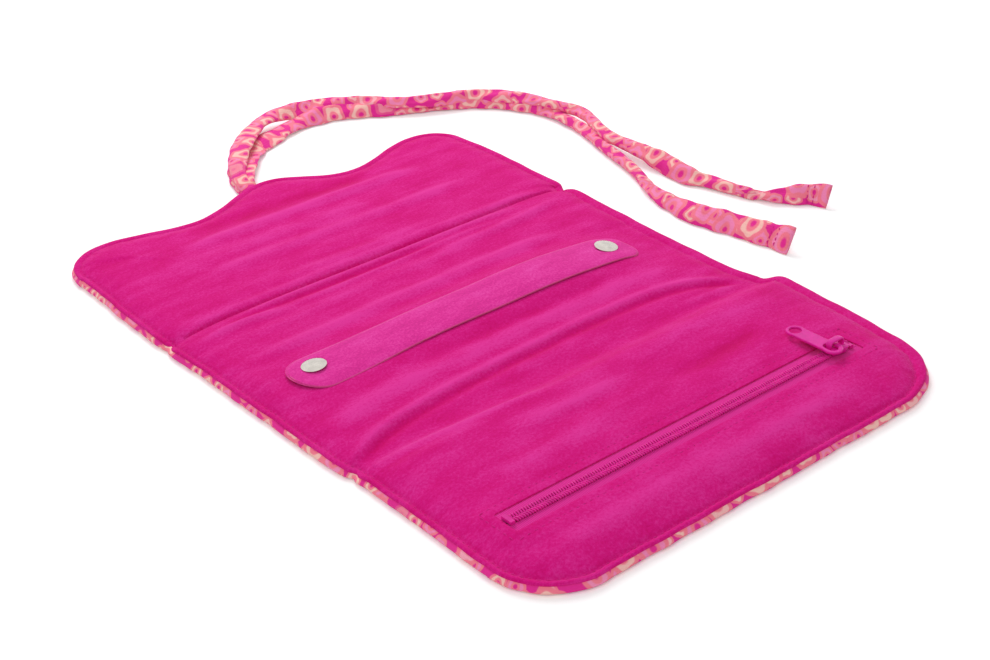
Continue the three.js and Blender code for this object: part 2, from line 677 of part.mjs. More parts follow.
function makeMiddle() {
  const group = new THREE.Group();
  addPiece(group, 'middle_outer', outerCloth(middlePanel), print);
  addPiece(group, 'middle_wadding', middleWadding(), wadding);
  addPiece(group, 'middle_lining', middleLining(), velvet);
  addPiece(group, 'middle_edge_stitching', edgeThread(middlePanel), thread);
  addPiece(group, 'strap_anchor_backing', anchorLayer(strapBottom), suede);
  addPiece(group, 'strap_anchor_top', anchorLayer(strapTopLayer), suede);
  addPiece(group, 'left_snap_cap', snapCap(leftSnapX), nickel);
  addPiece(group, 'left_snap_socket', snapSocket(leftSnapX), nickel);
  addPiece(group, 'left_snap_stud', snapStud(leftSnapX), nickel);
  addPiece(group, 'left_snap_post', snapPost(leftSnapX), nickel);
  addPiece(group, 'right_snap_stud', snapStud(rightSnapX), nickel);
  addPiece(group, 'right_snap_post', snapPost(rightSnapX), nickel);
  return group;
}

function makeStrap() {
  const group = new THREE.Group();
  addPiece(group, 'ring_strap_backing', liftingLayer(strapBottom), suede);
  addPiece(group, 'ring_strap_top', liftingLayer(strapTopLayer), suede);
  addPiece(group, 'right_snap_cap', snapCap(rightSnapX), nickel);
  addPiece(group, 'right_snap_socket', snapSocket(rightSnapX), nickel);
  return group;
}

function makeFlap() {
  const group = new THREE.Group();
  const half = PANEL_WIDTH / 2 - WADDING_INSET - FLAP_CORNER / 2;
  const far = flapTip - FLAP_DIP_DEPTH - WADDING_INSET;
  const near = flapPanel.near + WADDING_FOLD_SETBACK;
  const slab = waddingSlab(half, near, far, OUTER_CLOTH + GAP, RIM_HEIGHT);
  addPiece(group, 'flap_outer', outerCloth(flapPanel), print);
  addPiece(group, 'flap_wadding', slab, wadding);
  addPiece(group, 'flap_lining', lining(flapPanel), velvet);
  addPiece(group, 'flap_edge_stitching', edgeThread(flapPanel), thread);
  const lowerStart = LOWER_TIE_ROUTE[0][2];
  const upperStart = UPPER_TIE_ROUTE[0][2];
  addPiece(group, 'tie_lower', tie(LOWER_TIE_ROUTE, lowerStart), tiePrint);
  addPiece(group, 'tie_upper', tie(UPPER_TIE_ROUTE, upperStart), tiePrint);
  return group;
}

function makePocket() {
  const group = new THREE.Group();
  const half = PANEL_WIDTH / 2 - WADDING_INSET - POCKET_CORNER / 2;
  const near = nearEdge + WADDING_INSET + POCKET_CORNER / 2;
  const far = pocketPanel.far - WADDING_FOLD_SETBACK;
  const low = OUTER_CLOTH + GAP;
  const slab = waddingSlab(half, near, far, low, low + POCKET_WADDING);
  addPiece(group, 'pocket_outer', outerCloth(pocketPanel), print);
  addPiece(group, 'pocket_wadding', slab, wadding);
  addPiece(group, 'pocket_lining', pocketLining(), velvet);
  addPiece(group, 'pocket_edge_stitching', edgeThread(pocketPanel), thread);
  addPiece(group, 'pocket_bag', pocketBag(), pocketCotton);
  addPiece(group, 'zip_window_stitching', windowThread(), thread);
  for (const [place, side] of [['upper', 1], ['lower', -1]]) {
    addPiece(group, `zip_tape_${place}`, zipTapeStrip(side), zipTape);
    addPiece(group, `zip_coil_${place}`, coilHalf(side), zipNylon);
    addPiece(group, `zip_top_stop_${place}`, topStop(side), zipNylon);
  }
  addPiece(group, 'zip_bottom_stop', bottomStop(), zipNylon);
  return group;
}

function makeSlider() {
  const group = new THREE.Group();
  group.position.set(sliderX, ZIP_Y, 0);
  addPiece(group, 'zip_slider_body', sliderBody(), zipEnamel);
  const tab = new THREE.Group();
  tab.position.set(-BRIDGE_SPAN / 2, 0, 0);
  addPiece(tab, 'zip_pull_tab', pullTab(), zipEnamel);
  group.add(tab);
  return group;
}

const pouch = new THREE.Group();
pouch.add(makeMiddle(), makeStrap(), makeFlap(), makePocket(), makeSlider());

export default pouch;
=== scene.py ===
"""Looks of a jewelry pouch that folds in three: velvet, printed cloth, ring strap, zip and ties."""

import json
import math

import bpy
import numpy as np
from bpy.props import FloatProperty, FloatVectorProperty, PointerProperty
from mathutils import Matrix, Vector
from mathutils.geometry import delaunay_2d_cdt
from mathutils.kdtree import KDTree


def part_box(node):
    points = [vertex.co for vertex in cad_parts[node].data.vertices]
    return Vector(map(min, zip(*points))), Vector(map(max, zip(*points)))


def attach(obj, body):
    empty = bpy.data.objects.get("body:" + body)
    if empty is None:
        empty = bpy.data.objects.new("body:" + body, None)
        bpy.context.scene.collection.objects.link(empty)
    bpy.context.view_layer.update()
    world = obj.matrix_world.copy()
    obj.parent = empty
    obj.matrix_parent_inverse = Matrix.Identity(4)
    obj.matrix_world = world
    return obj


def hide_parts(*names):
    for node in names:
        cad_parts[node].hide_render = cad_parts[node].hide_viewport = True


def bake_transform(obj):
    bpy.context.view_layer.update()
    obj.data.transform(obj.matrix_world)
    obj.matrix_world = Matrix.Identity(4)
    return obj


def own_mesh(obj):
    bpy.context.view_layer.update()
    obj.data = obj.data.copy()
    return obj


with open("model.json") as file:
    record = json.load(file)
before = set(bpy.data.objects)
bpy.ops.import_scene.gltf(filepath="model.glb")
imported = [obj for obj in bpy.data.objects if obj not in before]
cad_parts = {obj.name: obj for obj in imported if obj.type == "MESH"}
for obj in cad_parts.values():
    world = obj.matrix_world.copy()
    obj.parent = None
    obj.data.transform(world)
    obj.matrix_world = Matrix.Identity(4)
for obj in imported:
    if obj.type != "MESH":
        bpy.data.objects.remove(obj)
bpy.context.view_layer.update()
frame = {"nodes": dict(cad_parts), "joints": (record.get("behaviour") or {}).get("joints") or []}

bl_info = {
    "name": "Jewelry Pouch",
    "version": (1, 0, 0),
    "blender": (4, 5, 0),
    "location": "View3D > Sidebar > Pouch",
    "description": "Dresses the pouch's frame in velvet, printed cotton, a strap, snaps and a zip",
    "category": "Object",
}

MM = 0.001

# Places of the packed frame
JOINTS = {joint["name"]: joint["pos_m"] for joint in frame["joints"] if "pos_m" in joint}
FLAP_FOLD_Y = JOINTS["flap_fold"][1]
POCKET_FOLD_Y = JOINTS["pocket_fold"][1]
STRAP_BEND_X, STRAP_Y = JOINTS["strap_lift"][:2]
TAB_AXIS = np.array(JOINTS["tab_swing"])

HALF_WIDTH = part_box("middle_lining")[1][0]
NEAR_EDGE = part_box("pocket_lining")[0][1]
FLAP_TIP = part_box("flap_lining")[1][1]
LIP_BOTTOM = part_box("middle_lining")[0][2]
MIDDLE_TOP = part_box("middle_lining")[1][2]
POCKET_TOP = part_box("pocket_lining")[1][2]

STRAP_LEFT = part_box("strap_anchor_top")[0][0]
STRAP_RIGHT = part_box("ring_strap_top")[1][0]
STRAP_HALF_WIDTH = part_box("ring_strap_top")[1][1] - STRAP_Y
STRAP_BACKING_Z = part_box("ring_strap_backing")[0][2]

ZIP_Y = TAB_AXIS[1]
TAPE_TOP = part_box("zip_tape_upper")[1][2]
COIL_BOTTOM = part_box("zip_coil_upper")[0][2]
COIL_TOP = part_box("zip_coil_upper")[1][2]
WINDOW_STITCH_MARGIN = 4 * MM
STITCH_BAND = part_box("zip_window_stitching")
STITCH_REACH = WINDOW_STITCH_MARGIN + 0.3 * MM
WINDOW_LEFT = STITCH_BAND[0][0] + STITCH_REACH
WINDOW_RIGHT = STITCH_BAND[1][0] - STITCH_REACH
WINDOW_HALF = STITCH_BAND[1][1] - ZIP_Y - STITCH_REACH


def middle_of(node):
    """Middle of a node's box."""
    low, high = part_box(node)
    return (np.array(low) + np.array(high)) / 2


SNAPS = {side: middle_of(f"{side}_snap_cap")[0] for side in ("left", "right")}

# Outline of the pouch
LEFT_POCKET_CORNER = 30 * MM
RIGHT_POCKET_CORNER = 38 * MM
LEFT_FLAP_CORNER = 25 * MM
RIGHT_FLAP_CORNER = 20 * MM
FLAP_DIP_X = 46 * MM
LEFT_DIP_DEPTH = 17 * MM
RIGHT_DIP_DEPTH = 21 * MM
LEFT_SHOULDER_DEPTH = 7 * MM
RIGHT_SHOULDER_DEPTH = 8.5 * MM
RIGHT_SWEEP = 1.2
ROUTE_SPACING = 2 * MM
OUTLINE_SPACING = 1.2 * MM
NIP_REACH = 2.2 * MM
NEAR_INSET = 2.2 * MM
FLAP_TIP_X = 7.5 * MM

# Unevenness of the edge: height, and the share, number and phase of each wave round the outline
EDGE_WOBBLE = 0.3 * MM
EDGE_WAVES = [(0.5, 23, 0), (0.3, 41, 1), (0.3, 67, 2)]

# How far the soft sides bulge, in millimetres: place along the pouch and bulge
RIGHT_BULGE = [
    (-190, -3.3), (-150, -1), (-128, 2), (-105, 4.2), (-85, 6), (-72, 6.2), (-60, -3), (-20, -2.8),
    (30, 0.4), (62, 3.2), (80, 2.4), (110, 3.8), (140, 4.6), (160, 3.2), (190, 0),
]
LEFT_BULGE = [
    (-190, 0), (-150, -0.3), (-110, -0.7), (-80, -0.8), (-66, 1.2), (-30, 1.5), (30, 1.5),
    (68, 2.2), (100, 1.6), (140, -0.2), (160, -0.6), (190, 0),
]

# How deep each fold nips in the sides: the fold, the side and the depth
NIPS = [
    (FLAP_FOLD_Y, -1, 1.3 * MM),
    (FLAP_FOLD_Y, 1, 2.8 * MM),
    (POCKET_FOLD_Y, -1, 2.2 * MM),
    (POCKET_FOLD_Y, 1, 4.5 * MM),
]

# Soft ridges of the lining, in millimetres: height, reach to each side, and points of the crest
RIDGES = [
    (1.1, 5.0, [(-70, 139), (-20, 138), (30, 138), (80, 137)]),
    (-0.7, 6.0, [(-60, 152), (0, 150), (60, 149)]),
    (0.8, 4.5, [(-75, 108), (0, 107), (85, 106)]),
    (0.5, 7.0, [(-95, 122), (-30, 123), (40, 121)]),
    (0.5, 4.0, [(-60, 80), (0, 79), (50, 80)]),
    (0.7, 2.6, [(-112, 71), (-60, 72), (0, 72), (60, 72), (108, 70)]),
    (0.9, 2.2, [(-85, 63), (-20, 63.5), (40, 63.5), (85, 62)]),
    (-0.7, 1.8, [(-112, 60), (-70, 60.5), (-20, 59.5), (30, 60)]),
    (0.6, 1.8, [(-70, 54.5), (-20, 55.5), (30, 57), (70, 58)]),
    (1.0, 3.5, [(-113, 52), (-100, 58), (-80, 57), (-50, 50)]),
    (0.5, 3.5, [(-95, 44), (-60, 44.5), (-25, 46), (40, 47)]),
    (0.9, 3.2, [(15, 50.5), (60, 50.5), (85, 53), (110, 58)]),
    (1.1, 4.5, [(-102, 25), (-40, 26), (20, 27), (80, 27)]),
    (0.8, 6.0, [(-108, -42), (-60, -36), (0, -34.5), (50, -35), (98, -39)]),
    (-0.4, 4.0, [(-60, -28), (0, -27.5), (70, -27)]),
    (1.0, 3.2, [(-120, -69), (-100, -60), (-80, -54.5), (-40, -50), (0, -48),
                (40, -47.5), (70, -50), (90, -57), (110, -71)]),
    (-0.8, 2.6, [(-120, -73), (-100, -64.5), (-80, -59), (-40, -54.5), (0, -52.5),
                 (40, -52), (70, -54.5), (90, -61.5), (110, -75)]),
    (1.0, 3.0, [(-122, -74), (-90, -75), (-60, -78), (-20, -82)]),
    (0.8, 2.6, [(55, -66), (88, -68), (112, -71)]),
    (0.8, 5.0, [(-60, -98), (-25, -98.5), (10, -97)]),
    (0.6, 5.0, [(-85, -117), (-45, -117), (-5, -115)]),
    (-0.6, 5.0, [(0, -109), (40, -110), (80, -108)]),
    (0.6, 5.0, [(10, -90), (50, -88), (100, -90)]),
    (0.9, 5.0, [(-95, -152), (0, -151), (95, -152)]),
    (0.7, 5.0, [(-100, -166), (0, -163.5), (80, -165)]),
]
RIDGE_FADE = 24 * MM

# Ties: routes on the table, in millimetres, from the seam at the flap's tip
LOWER_TIE_ROUTE = [
    (-1, 179, 1.4), (1, 185.3, 1.6), (4.6, 196, 1.6), (11.2, 209.5, 1.5), (22, 224.3, 1.5),
    (35, 235.3, 1.5), (48.5, 240.3, 1.5), (62, 245.2, 1.5), (75, 247.5, 1.5), (88, 247, 1.5),
    (99, 243.5, 1.5), (108.5, 237, 1.5), (127, 223.5, 1.5), (147, 211, 1.5), (157, 205, 1.5),
    (166, 197.5, 1.5), (173, 188, 1.5), (178.4, 176.5, 1.5), (182, 164, 1.5), (182.7, 151, 1.5),
    (181.6, 137.5, 1.5), (179, 124, 1.5), (174.6, 109.5, 1.5), (169.8, 95, 1.5),
    (165.8, 80.5, 1.5), (161.8, 67, 1.5), (156.2, 54, 1.5), (150.3, 41, 1.5), (147, 29, 1.5),
    (146, 17.6, 1.5), (145.7, 5.5, 1.5), (150, -16.5, 1.5), (154, -39, 1.5), (155.2, -47.5, 1.5),
]
UPPER_TIE_ROUTE = [
    (-1, 179, 1.8), (1, 185.3, 2.2), (3, 196.6, 2.9), (9.7, 211, 3.7), (21.4, 227.6, 4.4),
    (36.2, 242.9, 4.6), (50.8, 253.6, 4.6), (62.9, 257.4, 4.6), (73.2, 255.6, 4.6),
    (85, 252.8, 4.6), (95.5, 248, 4.6), (113.5, 234, 4.6), (130, 217.6, 4.6), (150, 205.6, 4.6),
    (160.5, 200, 4.6), (169, 191.5, 4.6), (175.5, 181.5, 4.6), (180.5, 170, 4.6), (184, 158, 4.6),
    (186.6, 147.6, 4.6), (187.8, 137.5, 4.6), (185.2, 125.6, 4.6), (179.6, 112, 4.6),
    (175.2, 98, 4.6), (174.8, 84, 4.6), (174, 69.2, 4.6), (173.6, 58, 4), (174, 46, 2.4),
    (175.2, 36.4, 1.6), (178, 27.8, 1.5), (179.6, 17.2, 1.5), (181.3, 6.3, 1.5), (185, -3.8, 1.5),
    (191.5, -10.7, 1.5), (199, -16.7, 1.5), (203.6, -23, 1.5), (205.2, -27.5, 1.5),
]

# Shape of each tie: share of its length, share of its width, and lean in radians
LOWER_TIE_SHAPE = [
    (0, 0.75, 0.1), (0.04, 0.95, 0.15), (0.1, 1.35, 0.2), (0.2, 1.05, -0.2), (0.28, 0.9, -0.5),
    (0.4, 0.78, -0.5), (0.5, 0.78, -0.5), (0.56, 0.64, -0.3), (0.65, 0.52, -0.2),
    (0.74, 0.5, -0.3), (0.79, 0.42, -0.4), (0.84, 0.68, -0.5), (0.88, 0.9, -0.7),
    (0.94, 0.98, -0.75), (1, 1, -0.75),
]
UPPER_TIE_SHAPE = [
    (0, 0.7, 0.1), (0.05, 0.65, 0.15), (0.12, 0.98, 0.2), (0.2, 0.9, -0.1), (0.3, 0.85, -0.5),
    (0.4, 0.66, -0.5), (0.52, 0.74, -0.5), (0.58, 0.58, -0.2), (0.66, 0.55, -0.1),
    (0.74, 0.66, -0.3), (0.81, 0.88, -0.6), (0.86, 0.72, -0.5), (0.9, 0.48, -0.4),
    (0.925, 0.28, -0.4), (0.95, 0.68, -0.6), (0.97, 0.86, -0.75), (1, 0.9, -0.75),
]

# Shares of a tie's length at which it turns over, leaves the seam and is hemmed
LOWER_TIE_TURN = 0.79
UPPER_TIE_TURN = 0.925
TIE_TURN_BEFORE, TIE_TURN_REACH = 0.03, 0.06
TIE_TUCK_START, TIE_TUCK_REACH = 0.008, 0.03
TIE_HEM_START, TIE_HEM_REACH = 0.979, 0.005
HEM_ROW_GAP = 2.2 * MM
HEM_STITCH, HEM_THREAD = 2.0 * MM, 0.28 * MM

# How the ties lie: shift from the route, and shift for each unit that a leaning tie is raised
TIE_SHIFT = np.array([-1.5, -2]) * MM
TIE_SETTLE = np.array([-1.07, -1.43])
TIE_ON_TABLE = 1.6 * MM
TIE_CLEARANCE = 0.2 * MM
TIE_LOWEST = 0.1 * MM
TIE_STEP = 1.5 * MM
TIE_SIDES = 28

# Uneven cloth of the ties: a number that sets the two apart, and lengths of the waves
TIE_DRIFTS = {"lower": 0.0, "upper": 0.13}
TIE_SWAYS = [(0.14, 13 * MM, 9), (0.1, 7 * MM, 4)]
TIE_WAVES = [(3.1 * MM, 5), (1.9 * MM, 11)]
TIE_CREASE_WAVE = 5.5 * MM

# Lip of the lining: lower and further in on the near and left sides, and wider on the right
LIP_NEAR = np.array([0.61, 0.79])
LIP_DROP = 1.2 * MM
LIP_PULL = 1.05 * MM
LIP_PULL_REACH = 3.8 * MM
LIP_WIDER = 1.8 * MM
LIP_WIDER_FADE = 20 * MM
LIP_SWELL = 0.12 * MM
EDGE_ROLL = 0.8 * MM

# Relief of the lining: heights, places inside the edge and reaches
LINING_RINGS = np.array([
    0, 0.25, 0.6, 1.1, 1.8, 2.5, 3.0, 3.45, 3.9, 4.35, 4.8, 5.5, 6.5, 7.8,
]) * MM
CROWN_SPREAD = 8 * MM
CROWN_WIDER = 5 * MM
POCKET_RISE_START, POCKET_RISE_REACH = 2 * MM, 13 * MM
SEAM_REACH = 0.9 * MM
PILLOW_HEIGHT, PILLOW_INSET, PILLOW_REACH = 0.35 * MM, 11 * MM, 4 * MM
PUCKER_HEIGHT, PUCKER_INSET, PUCKER_REACH = 0.1 * MM, 8 * MM, 3 * MM
PUCKER_WAVES = (8.3 * MM, 13.1 * MM)
CALM_EDGE, CALM_EDGE_REACH = 3 * MM, 9 * MM
RIDGE_GAIN = 1.35
RIPPLE_HEIGHT = 0.16 * MM
LINING_SEED = 5
RING_SLACK = 0.1 * MM

# Turned edges of the lining, in millimetres: way in from the edge, and drop
LIP_TURN = [(0.05, 0.2), (0.25, 0.4), (0.9, 0.5)]
LIP_TURN_STEP = 0.8
WINDOW_TURN = [(0, 0), (0.25, 0.25), (0.1, 0.7), (-1.0, 1.1)]

# Creases at the folds: rows of the mesh beside the flap's fold, and depth and reach of each crease
CREASE_ROWS = np.array([-2.4, -1.6, -1.0, -0.5, 0, 0.5, 1.0, 1.6, 2.4]) * MM
CREASE_BAND = 3 * MM
FLAP_CREASES = [(0.6 * MM, 4 * MM), (1.3 * MM, 0.7 * MM)]
POCKET_CREASE_DEPTH, POCKET_CREASE_REACH = 1.1 * MM, 8 * MM
FOLD_END_DEPTH, FOLD_END_REACH = 1.2 * MM, 5 * MM

# Lining round the zip window and under the snaps
WINDOW_CLEAR = 0.8 * MM
WINDOW_END = 5 * MM
WINDOW_RISE = 0.8 * MM
WINDOW_SLOPE_START, WINDOW_SLOPE = 1 * MM, 9 * MM
WINDOW_SEAM_DEPTH = 0.35 * MM
WINDOW_EDGE_DEPTH = 0.3 * MM
WINDOW_CALM, WINDOW_CALM_REACH = 4 * MM, 8 * MM
SNAP_HOLLOW_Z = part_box("left_snap_stud")[0][2] - 0.3 * MM
SNAP_HOLLOW_RADIUS, SNAP_HOLLOW_SLOPE = 5.6 * MM, 3.5 * MM

# Outer cloth: rim of its flat part and profile of its sides, in millimetres inside the edge and up
OUTER_RIM = (1.6, 0.12)
SIDE_PROFILE = [
    (0.6, 0.3), (-0.1, 0.8), (-0.5, 1.6), (-0.5, 2.5), (-0.2, 3.3), (0.3, 3.75), (0.9, 3.9),
]
SIDE_TOP = SIDE_PROFILE[-1][1]
SIDE_BELOW_LIP = 0.8 * MM
SIDE_DRAWN = 4 * MM
SIDE_NIP, SIDE_NIP_REACH = 0.3, 6 * MM
SIDE_PULL_START, SIDE_PULL_REACH = 2, 1.9
SIDE_PUCKER = 0.16 * MM
SIDE_WAVES = (2.1 * MM, 9.7 * MM, 4.3 * MM)
OUTER_RING, OUTER_SPACING = 4 * MM, 3.2 * MM
OUTER_SAG, OUTER_SAG_REACH = 0.35 * MM, 8 * MM
OUTER_SEED = 11

# Topstitching
STITCH_GAP = 0.5 * MM
STITCH_THREAD = 0.18 * MM
STITCH_LIFT = 0.06 * MM
SEAM_SLACK = 0.2 * MM
WINDOW_STITCH_SPACING = 1.5 * MM

# Halves of the cloth, which meet under the strap: the body and fold of each, and which side of the
# strap it lies on
HALVES = {
    "flap": ("flap", FLAP_FOLD_Y, 1),
    "pocket": ("pocket_panel", POCKET_FOLD_Y, -1),
}

# Strap: its place and size against the frame, its flare at the left snap and its bed in the lining
STRAP_SHIFT = -0.1 * MM
STRAP_SLANT = 3.6 * MM
STRAP_WIDER = 1.5 * MM
STRAP_LONGER = 2 * MM
STRAP_CORNER = 7 * MM
STRAP_FLARE = 2 * MM
STRAP_FLARE_REACH = 50 * MM
STRAP_TOP_TRIM = 0.65 * MM
STRAP_TIP_HALF = 0.3 * MM
STRAP_CUT = 0.5 * MM
STRAP_CURL = 0.75 * MM
STRAP_WAVE, STRAP_WAVE_REACH = 0.12 * MM, 17 * MM
STRAP_PRESS, STRAP_PRESS_REACH = 0.25 * MM, 8 * MM
STRAP_BED_RISE, STRAP_BED_REACH = 1.2 * MM, 18 * MM
STRAP_ARCH_REACH = 22 * MM
LINING_FOLLOWS = 0.88

# How the strap arches: share of the way between the snaps, and rise in millimetres
STRAP_ARCH = [
    (-0.15, 0), (0, 0), (0.15, 0.5), (0.37, 2.1), (0.55, 2.6), (0.68, 3.2), (0.8, 3.1), (0.9, 2.2),
    (1, 0.9), (1.06, -0.9), (1.14, -2.4),
]

# Snap caps: their shift from the strap's middle, their tilt, and the rim in shares and millimetres
CAP_SHIFTS = {
    "left": np.array([0.9, 1.7, 0.2]) * MM,
    "right": np.array([0.3, 0, 0.2]) * MM,
}
CAP_TILTS = {"left": math.radians(-5), "right": math.radians(9)}
CAP_TILT_AXIS = (0.61, 0.79, 0)
CAP_RADIUS_SHARE = 0.47
CAP_RIM = [(0.9, 0), (0.97, 0.08), (1, 0.3), (0.985, 0.5), (0.93, 0.58)]
CAP_SHANK = 1.4 * MM
CAP_TOP, CAP_FALL = 1.15 * MM, 0.62 * MM

# Zip: the coil against the tape, the tapes' section as shares, and the slider
COIL_OVERLAP = 0.25 * MM
COIL_HALF_HEIGHT, COIL_LEAN = 0.4 * MM, 0.175 * MM
TAPE_HIDDEN = 2 * MM
TAPE_GAP = 0.4 * MM
TAPE_SECTION = [
    (0, 0.1), (0.02, 0.7), (0.22, 0.75), (0.25, 1.4), (0.29, 1.4), (0.31, 0.85), (0.34, 0.8),
    (0.95, 0.8), (0.99, 0.7), (1, 0.1), (0.5, 0),
]
SLIDER_OUTLINE = [
    (-0.5, 0.55), (-0.5, -0.55), (-0.44, -0.7), (0.05, -0.84), (0.3, -1.0), (0.42, -0.92),
    (0.5, -0.5), (0.5, 0.5), (0.42, 0.92), (0.3, 1.0), (0.05, 0.84), (-0.44, 0.7),
]
SLIDER_WALL = [(-0.4, 0.6), (0.1, 0.72), (0.26, 0.86), (0.26, 0.98), (0.05, 0.84), (-0.4, 0.7)]
SLIDER_ROOF = 1.2 * MM
SLIDER_CLEARANCE = 0.25 * MM
SLIDER_FLOOR = 0.9 * MM
CAST_SPACING, FINE_SPACING = 0.35 * MM, 0.4 * MM
CAST_RIM, FLOOR_RIM, INNER_RIM = 0.35 * MM, 0.3 * MM, 0.1 * MM
WEDGE_RADIUS, WEDGE_PLACE = 1.0 * MM, 0.36
BRIDGE_HALF_WIDTH, BRIDGE_HALF_THICKNESS = 1.5 * MM, 0.55 * MM

# Pull tab: its ring and head against the frame's, its waist and its holes
TAB_RING_SHARE, TAB_HEAD_SHARE = 1.15, 1.1
TAB_WAIST = 3.75 * MM
EYE_LENGTH = 2.2 * MM
EYE_RADIUS = 2.3 * MM
TAB_HOLE_RADIUS = 2.7 * MM

# Inside: how much smaller the pads are than the frame's wadding, and the mesh of the pocket bag
PAD_INSET = np.array([7, 2]) * MM
PAD_CORNER = 12 * MM
PAD_SPACING, PAD_RIM = 2 * MM, 0.5 * MM
BAG_RINGS = np.array([5, 9]) * MM
BAG_SPACING = 3 * MM
BAG_MARGIN = 1 * MM
BAG_LIFT = 0.1 * MM
BAG_EDGE, BAG_SLOPE = 6 * MM, 9 * MM
BAG_BELOW_LINING = 0.7 * MM

# Floor, which turns white between two distances, and lamps: name, place, size and share of power
FLOOR_HALF = 4.0
FLOOR_DROP = 0.2 * MM
FLOOR_FAR = (0.6, 1.4)
LAMPS = [
    ("key_softbox", (0.45, 0.95, 0.95), 0.8, 1.0),
    ("fill_softbox", (-1.0, -0.6, 1.3), 1.2, 0.52),
]


def tint(red, green, blue):
    """Linear colour of an sRGB colour given in 0 to 255."""
    shares = [value / 255 for value in (red, green, blue)]
    return tuple(s / 12.92 if s <= 0.04045 else ((s + 0.055) / 1.055) ** 2.4 for s in shares)


def colour_setting(name, description, colour):
    """A colour that the user can change."""
    return FloatVectorProperty(
        name=name, description=description, default=colour, size=3, min=0, max=1, subtype="COLOR",
    )


def length_setting(name, description, millimetres):
    """A length that the user can change."""
    return FloatProperty(
        name=name, description=description, default=millimetres * MM, min=0, unit="LENGTH",
        precision=5,
    )


class PouchClothSettings(bpy.types.PropertyGroup):
    """Lining, outer cloth and topstitching"""
    # Deep and light pile: random tones of the nap, and also painted shade in the wrinkles' hollows
    # and painted highlight on their crests
    pile_deep_and_hollow_shade: colour_setting("Deep pile", "Pile in the hollows", tint(204, 8, 104))
    pile: colour_setting("Pile", "Main colour of the velvet", tint(216, 22, 128))
    pile_light_and_crest_highlight: colour_setting("Light pile", "Brushed pile on the crests", tint(227, 54, 154))
    thread: colour_setting("Thread", "Topstitching thread", tint(228, 48, 150))
    ground: colour_setting("Print ground", "Ground of the printed cotton", tint(236, 42, 150))
    petal: colour_setting("Petals", "Outer petals of the print", tint(252, 128, 150))
    petal_inner: colour_setting("Inner petals", "Inner petals of the print", tint(255, 198, 188))
    blossom: colour_setting("Blossom eyes", "Middles of the blossoms", tint(252, 140, 190))
    lip_height: length_setting("Lip", "Height of the lip outside the seam", 0.9)
    seam_inset: length_setting("Seam inset", "From the edge to the topstitched seam", 3.9)
    seam_depth: length_setting("Seam depth", "Depth of the topstitched seam", 0.5)
    mesh_spacing: length_setting("Mesh spacing", "Distance between points of the lining", 1.45)
    stitch_length: length_setting("Stitch", "Length of a stitch", 2.8)
    motif_size: length_setting("Motif", "Spacing of the printed blossoms", 16)


class PouchStrapSettings(bpy.types.PropertyGroup):
    """Ring strap and its snaps"""
    suede: colour_setting("Suede", "Main colour of the strap", tint(225, 46, 150))
    suede_light: colour_setting("Light suede", "Brushed suede", tint(234, 76, 172))
    cut_edge: colour_setting("Cut edge", "Raw edge of the strap", tint(230, 96, 156))
    nickel: colour_setting("Nickel", "Plate on the snaps", tint(221, 215, 207))
    layer: length_setting("Layer", "Thickness of each layer", 0.42)


class PouchZipSettings(bpy.types.PropertyGroup):
    """Zip of the pocket"""
    tape: colour_setting("Tape", "Woven zip tape", tint(234, 48, 156))
    nylon: colour_setting("Coil", "Nylon coil", tint(238, 30, 158))
    enamel: colour_setting("Enamel", "Painted slider and tab", tint(232, 22, 160))
    pocket: colour_setting("Pocket", "Cotton of the pocket bag", tint(184, 28, 104))
    wadding: colour_setting("Wadding", "Fibre wadding inside the panels", tint(242, 239, 232))
    coil_pitch: length_setting("Coil pitch", "From one turn of the coil to the next", 1.2)
    wire: length_setting("Coil wire", "Diameter of the coil's wire", 0.9)


class PouchTieSettings(bpy.types.PropertyGroup):
    """Printed ties"""
    width: length_setting("Width", "Width of a tie laid flat", 13.2)
    thickness: length_setting("Thickness", "Thickness of the flat tube", 3.3)
    hem: length_setting("Hem", "From the end of a tie to its hem stitches", 8)


class PouchStageSettings(bpy.types.PropertyGroup):
    """Floor, light and camera"""
    floor: colour_setting("Floor", "Pale floor", tint(250, 250, 250))
    glow: FloatProperty(
        name="Glow", description="Light that the floor adds where the camera sees it",
        default=0.2, min=0,
    )
    camera_place: FloatVectorProperty(
        name="Camera", description="Place of the camera", default=(-0.4075, -0.54173, 0.37174),
        size=3, subtype="TRANSLATION",
    )
    azimuth: FloatProperty(
        name="Azimuth", description="Turn of the camera about the upright axis",
        default=math.radians(-37.836), subtype="ANGLE",
    )
    elevation: FloatProperty(
        name="Elevation", description="How far the camera looks down",
        default=math.radians(29.182), subtype="ANGLE",
    )
    roll: FloatProperty(
        name="Roll", description="Tilt of the camera about its view",
        default=math.radians(-3.096), subtype="ANGLE",
    )
    lens: FloatProperty(
        name="Lens", description="Focal length in millimetres", default=62.76, min=1,
    )
    fill: FloatProperty(
        name="Fill", description="Strength of the light from all round", default=0.52, min=0,
    )
    key: FloatProperty(
        name="Key", description="Power of the large soft light", default=11.2, min=0, unit="POWER",
    )


# Curves and meshes

def smoothstep(share):
    """Smooth rise from 0 to 1."""
    share = np.clip(share, 0, 1)
    return share * share * (3 - 2 * share)


def hump(away, reach, power=2):
    """1 where there is no distance, falling to 0 beyond the reach."""
    return np.exp(-(away / reach) ** power)


def resample(points, spacing, closed=False):
    """Evenly spaced points along a line."""
    if closed:
        points = np.vstack([points, points[:1]])
    along = np.concatenate([[0], np.cumsum(np.linalg.norm(np.diff(points, axis=0), axis=1))])
    count = max(2, round(along[-1] / spacing))
    stations = np.linspace(0, along[-1], count + 1)
    columns = [np.interp(stations, along, points[:, axis]) for axis in range(points.shape[1])]
    line = np.stack(columns, axis=1)
    return line[:-1] if closed else line


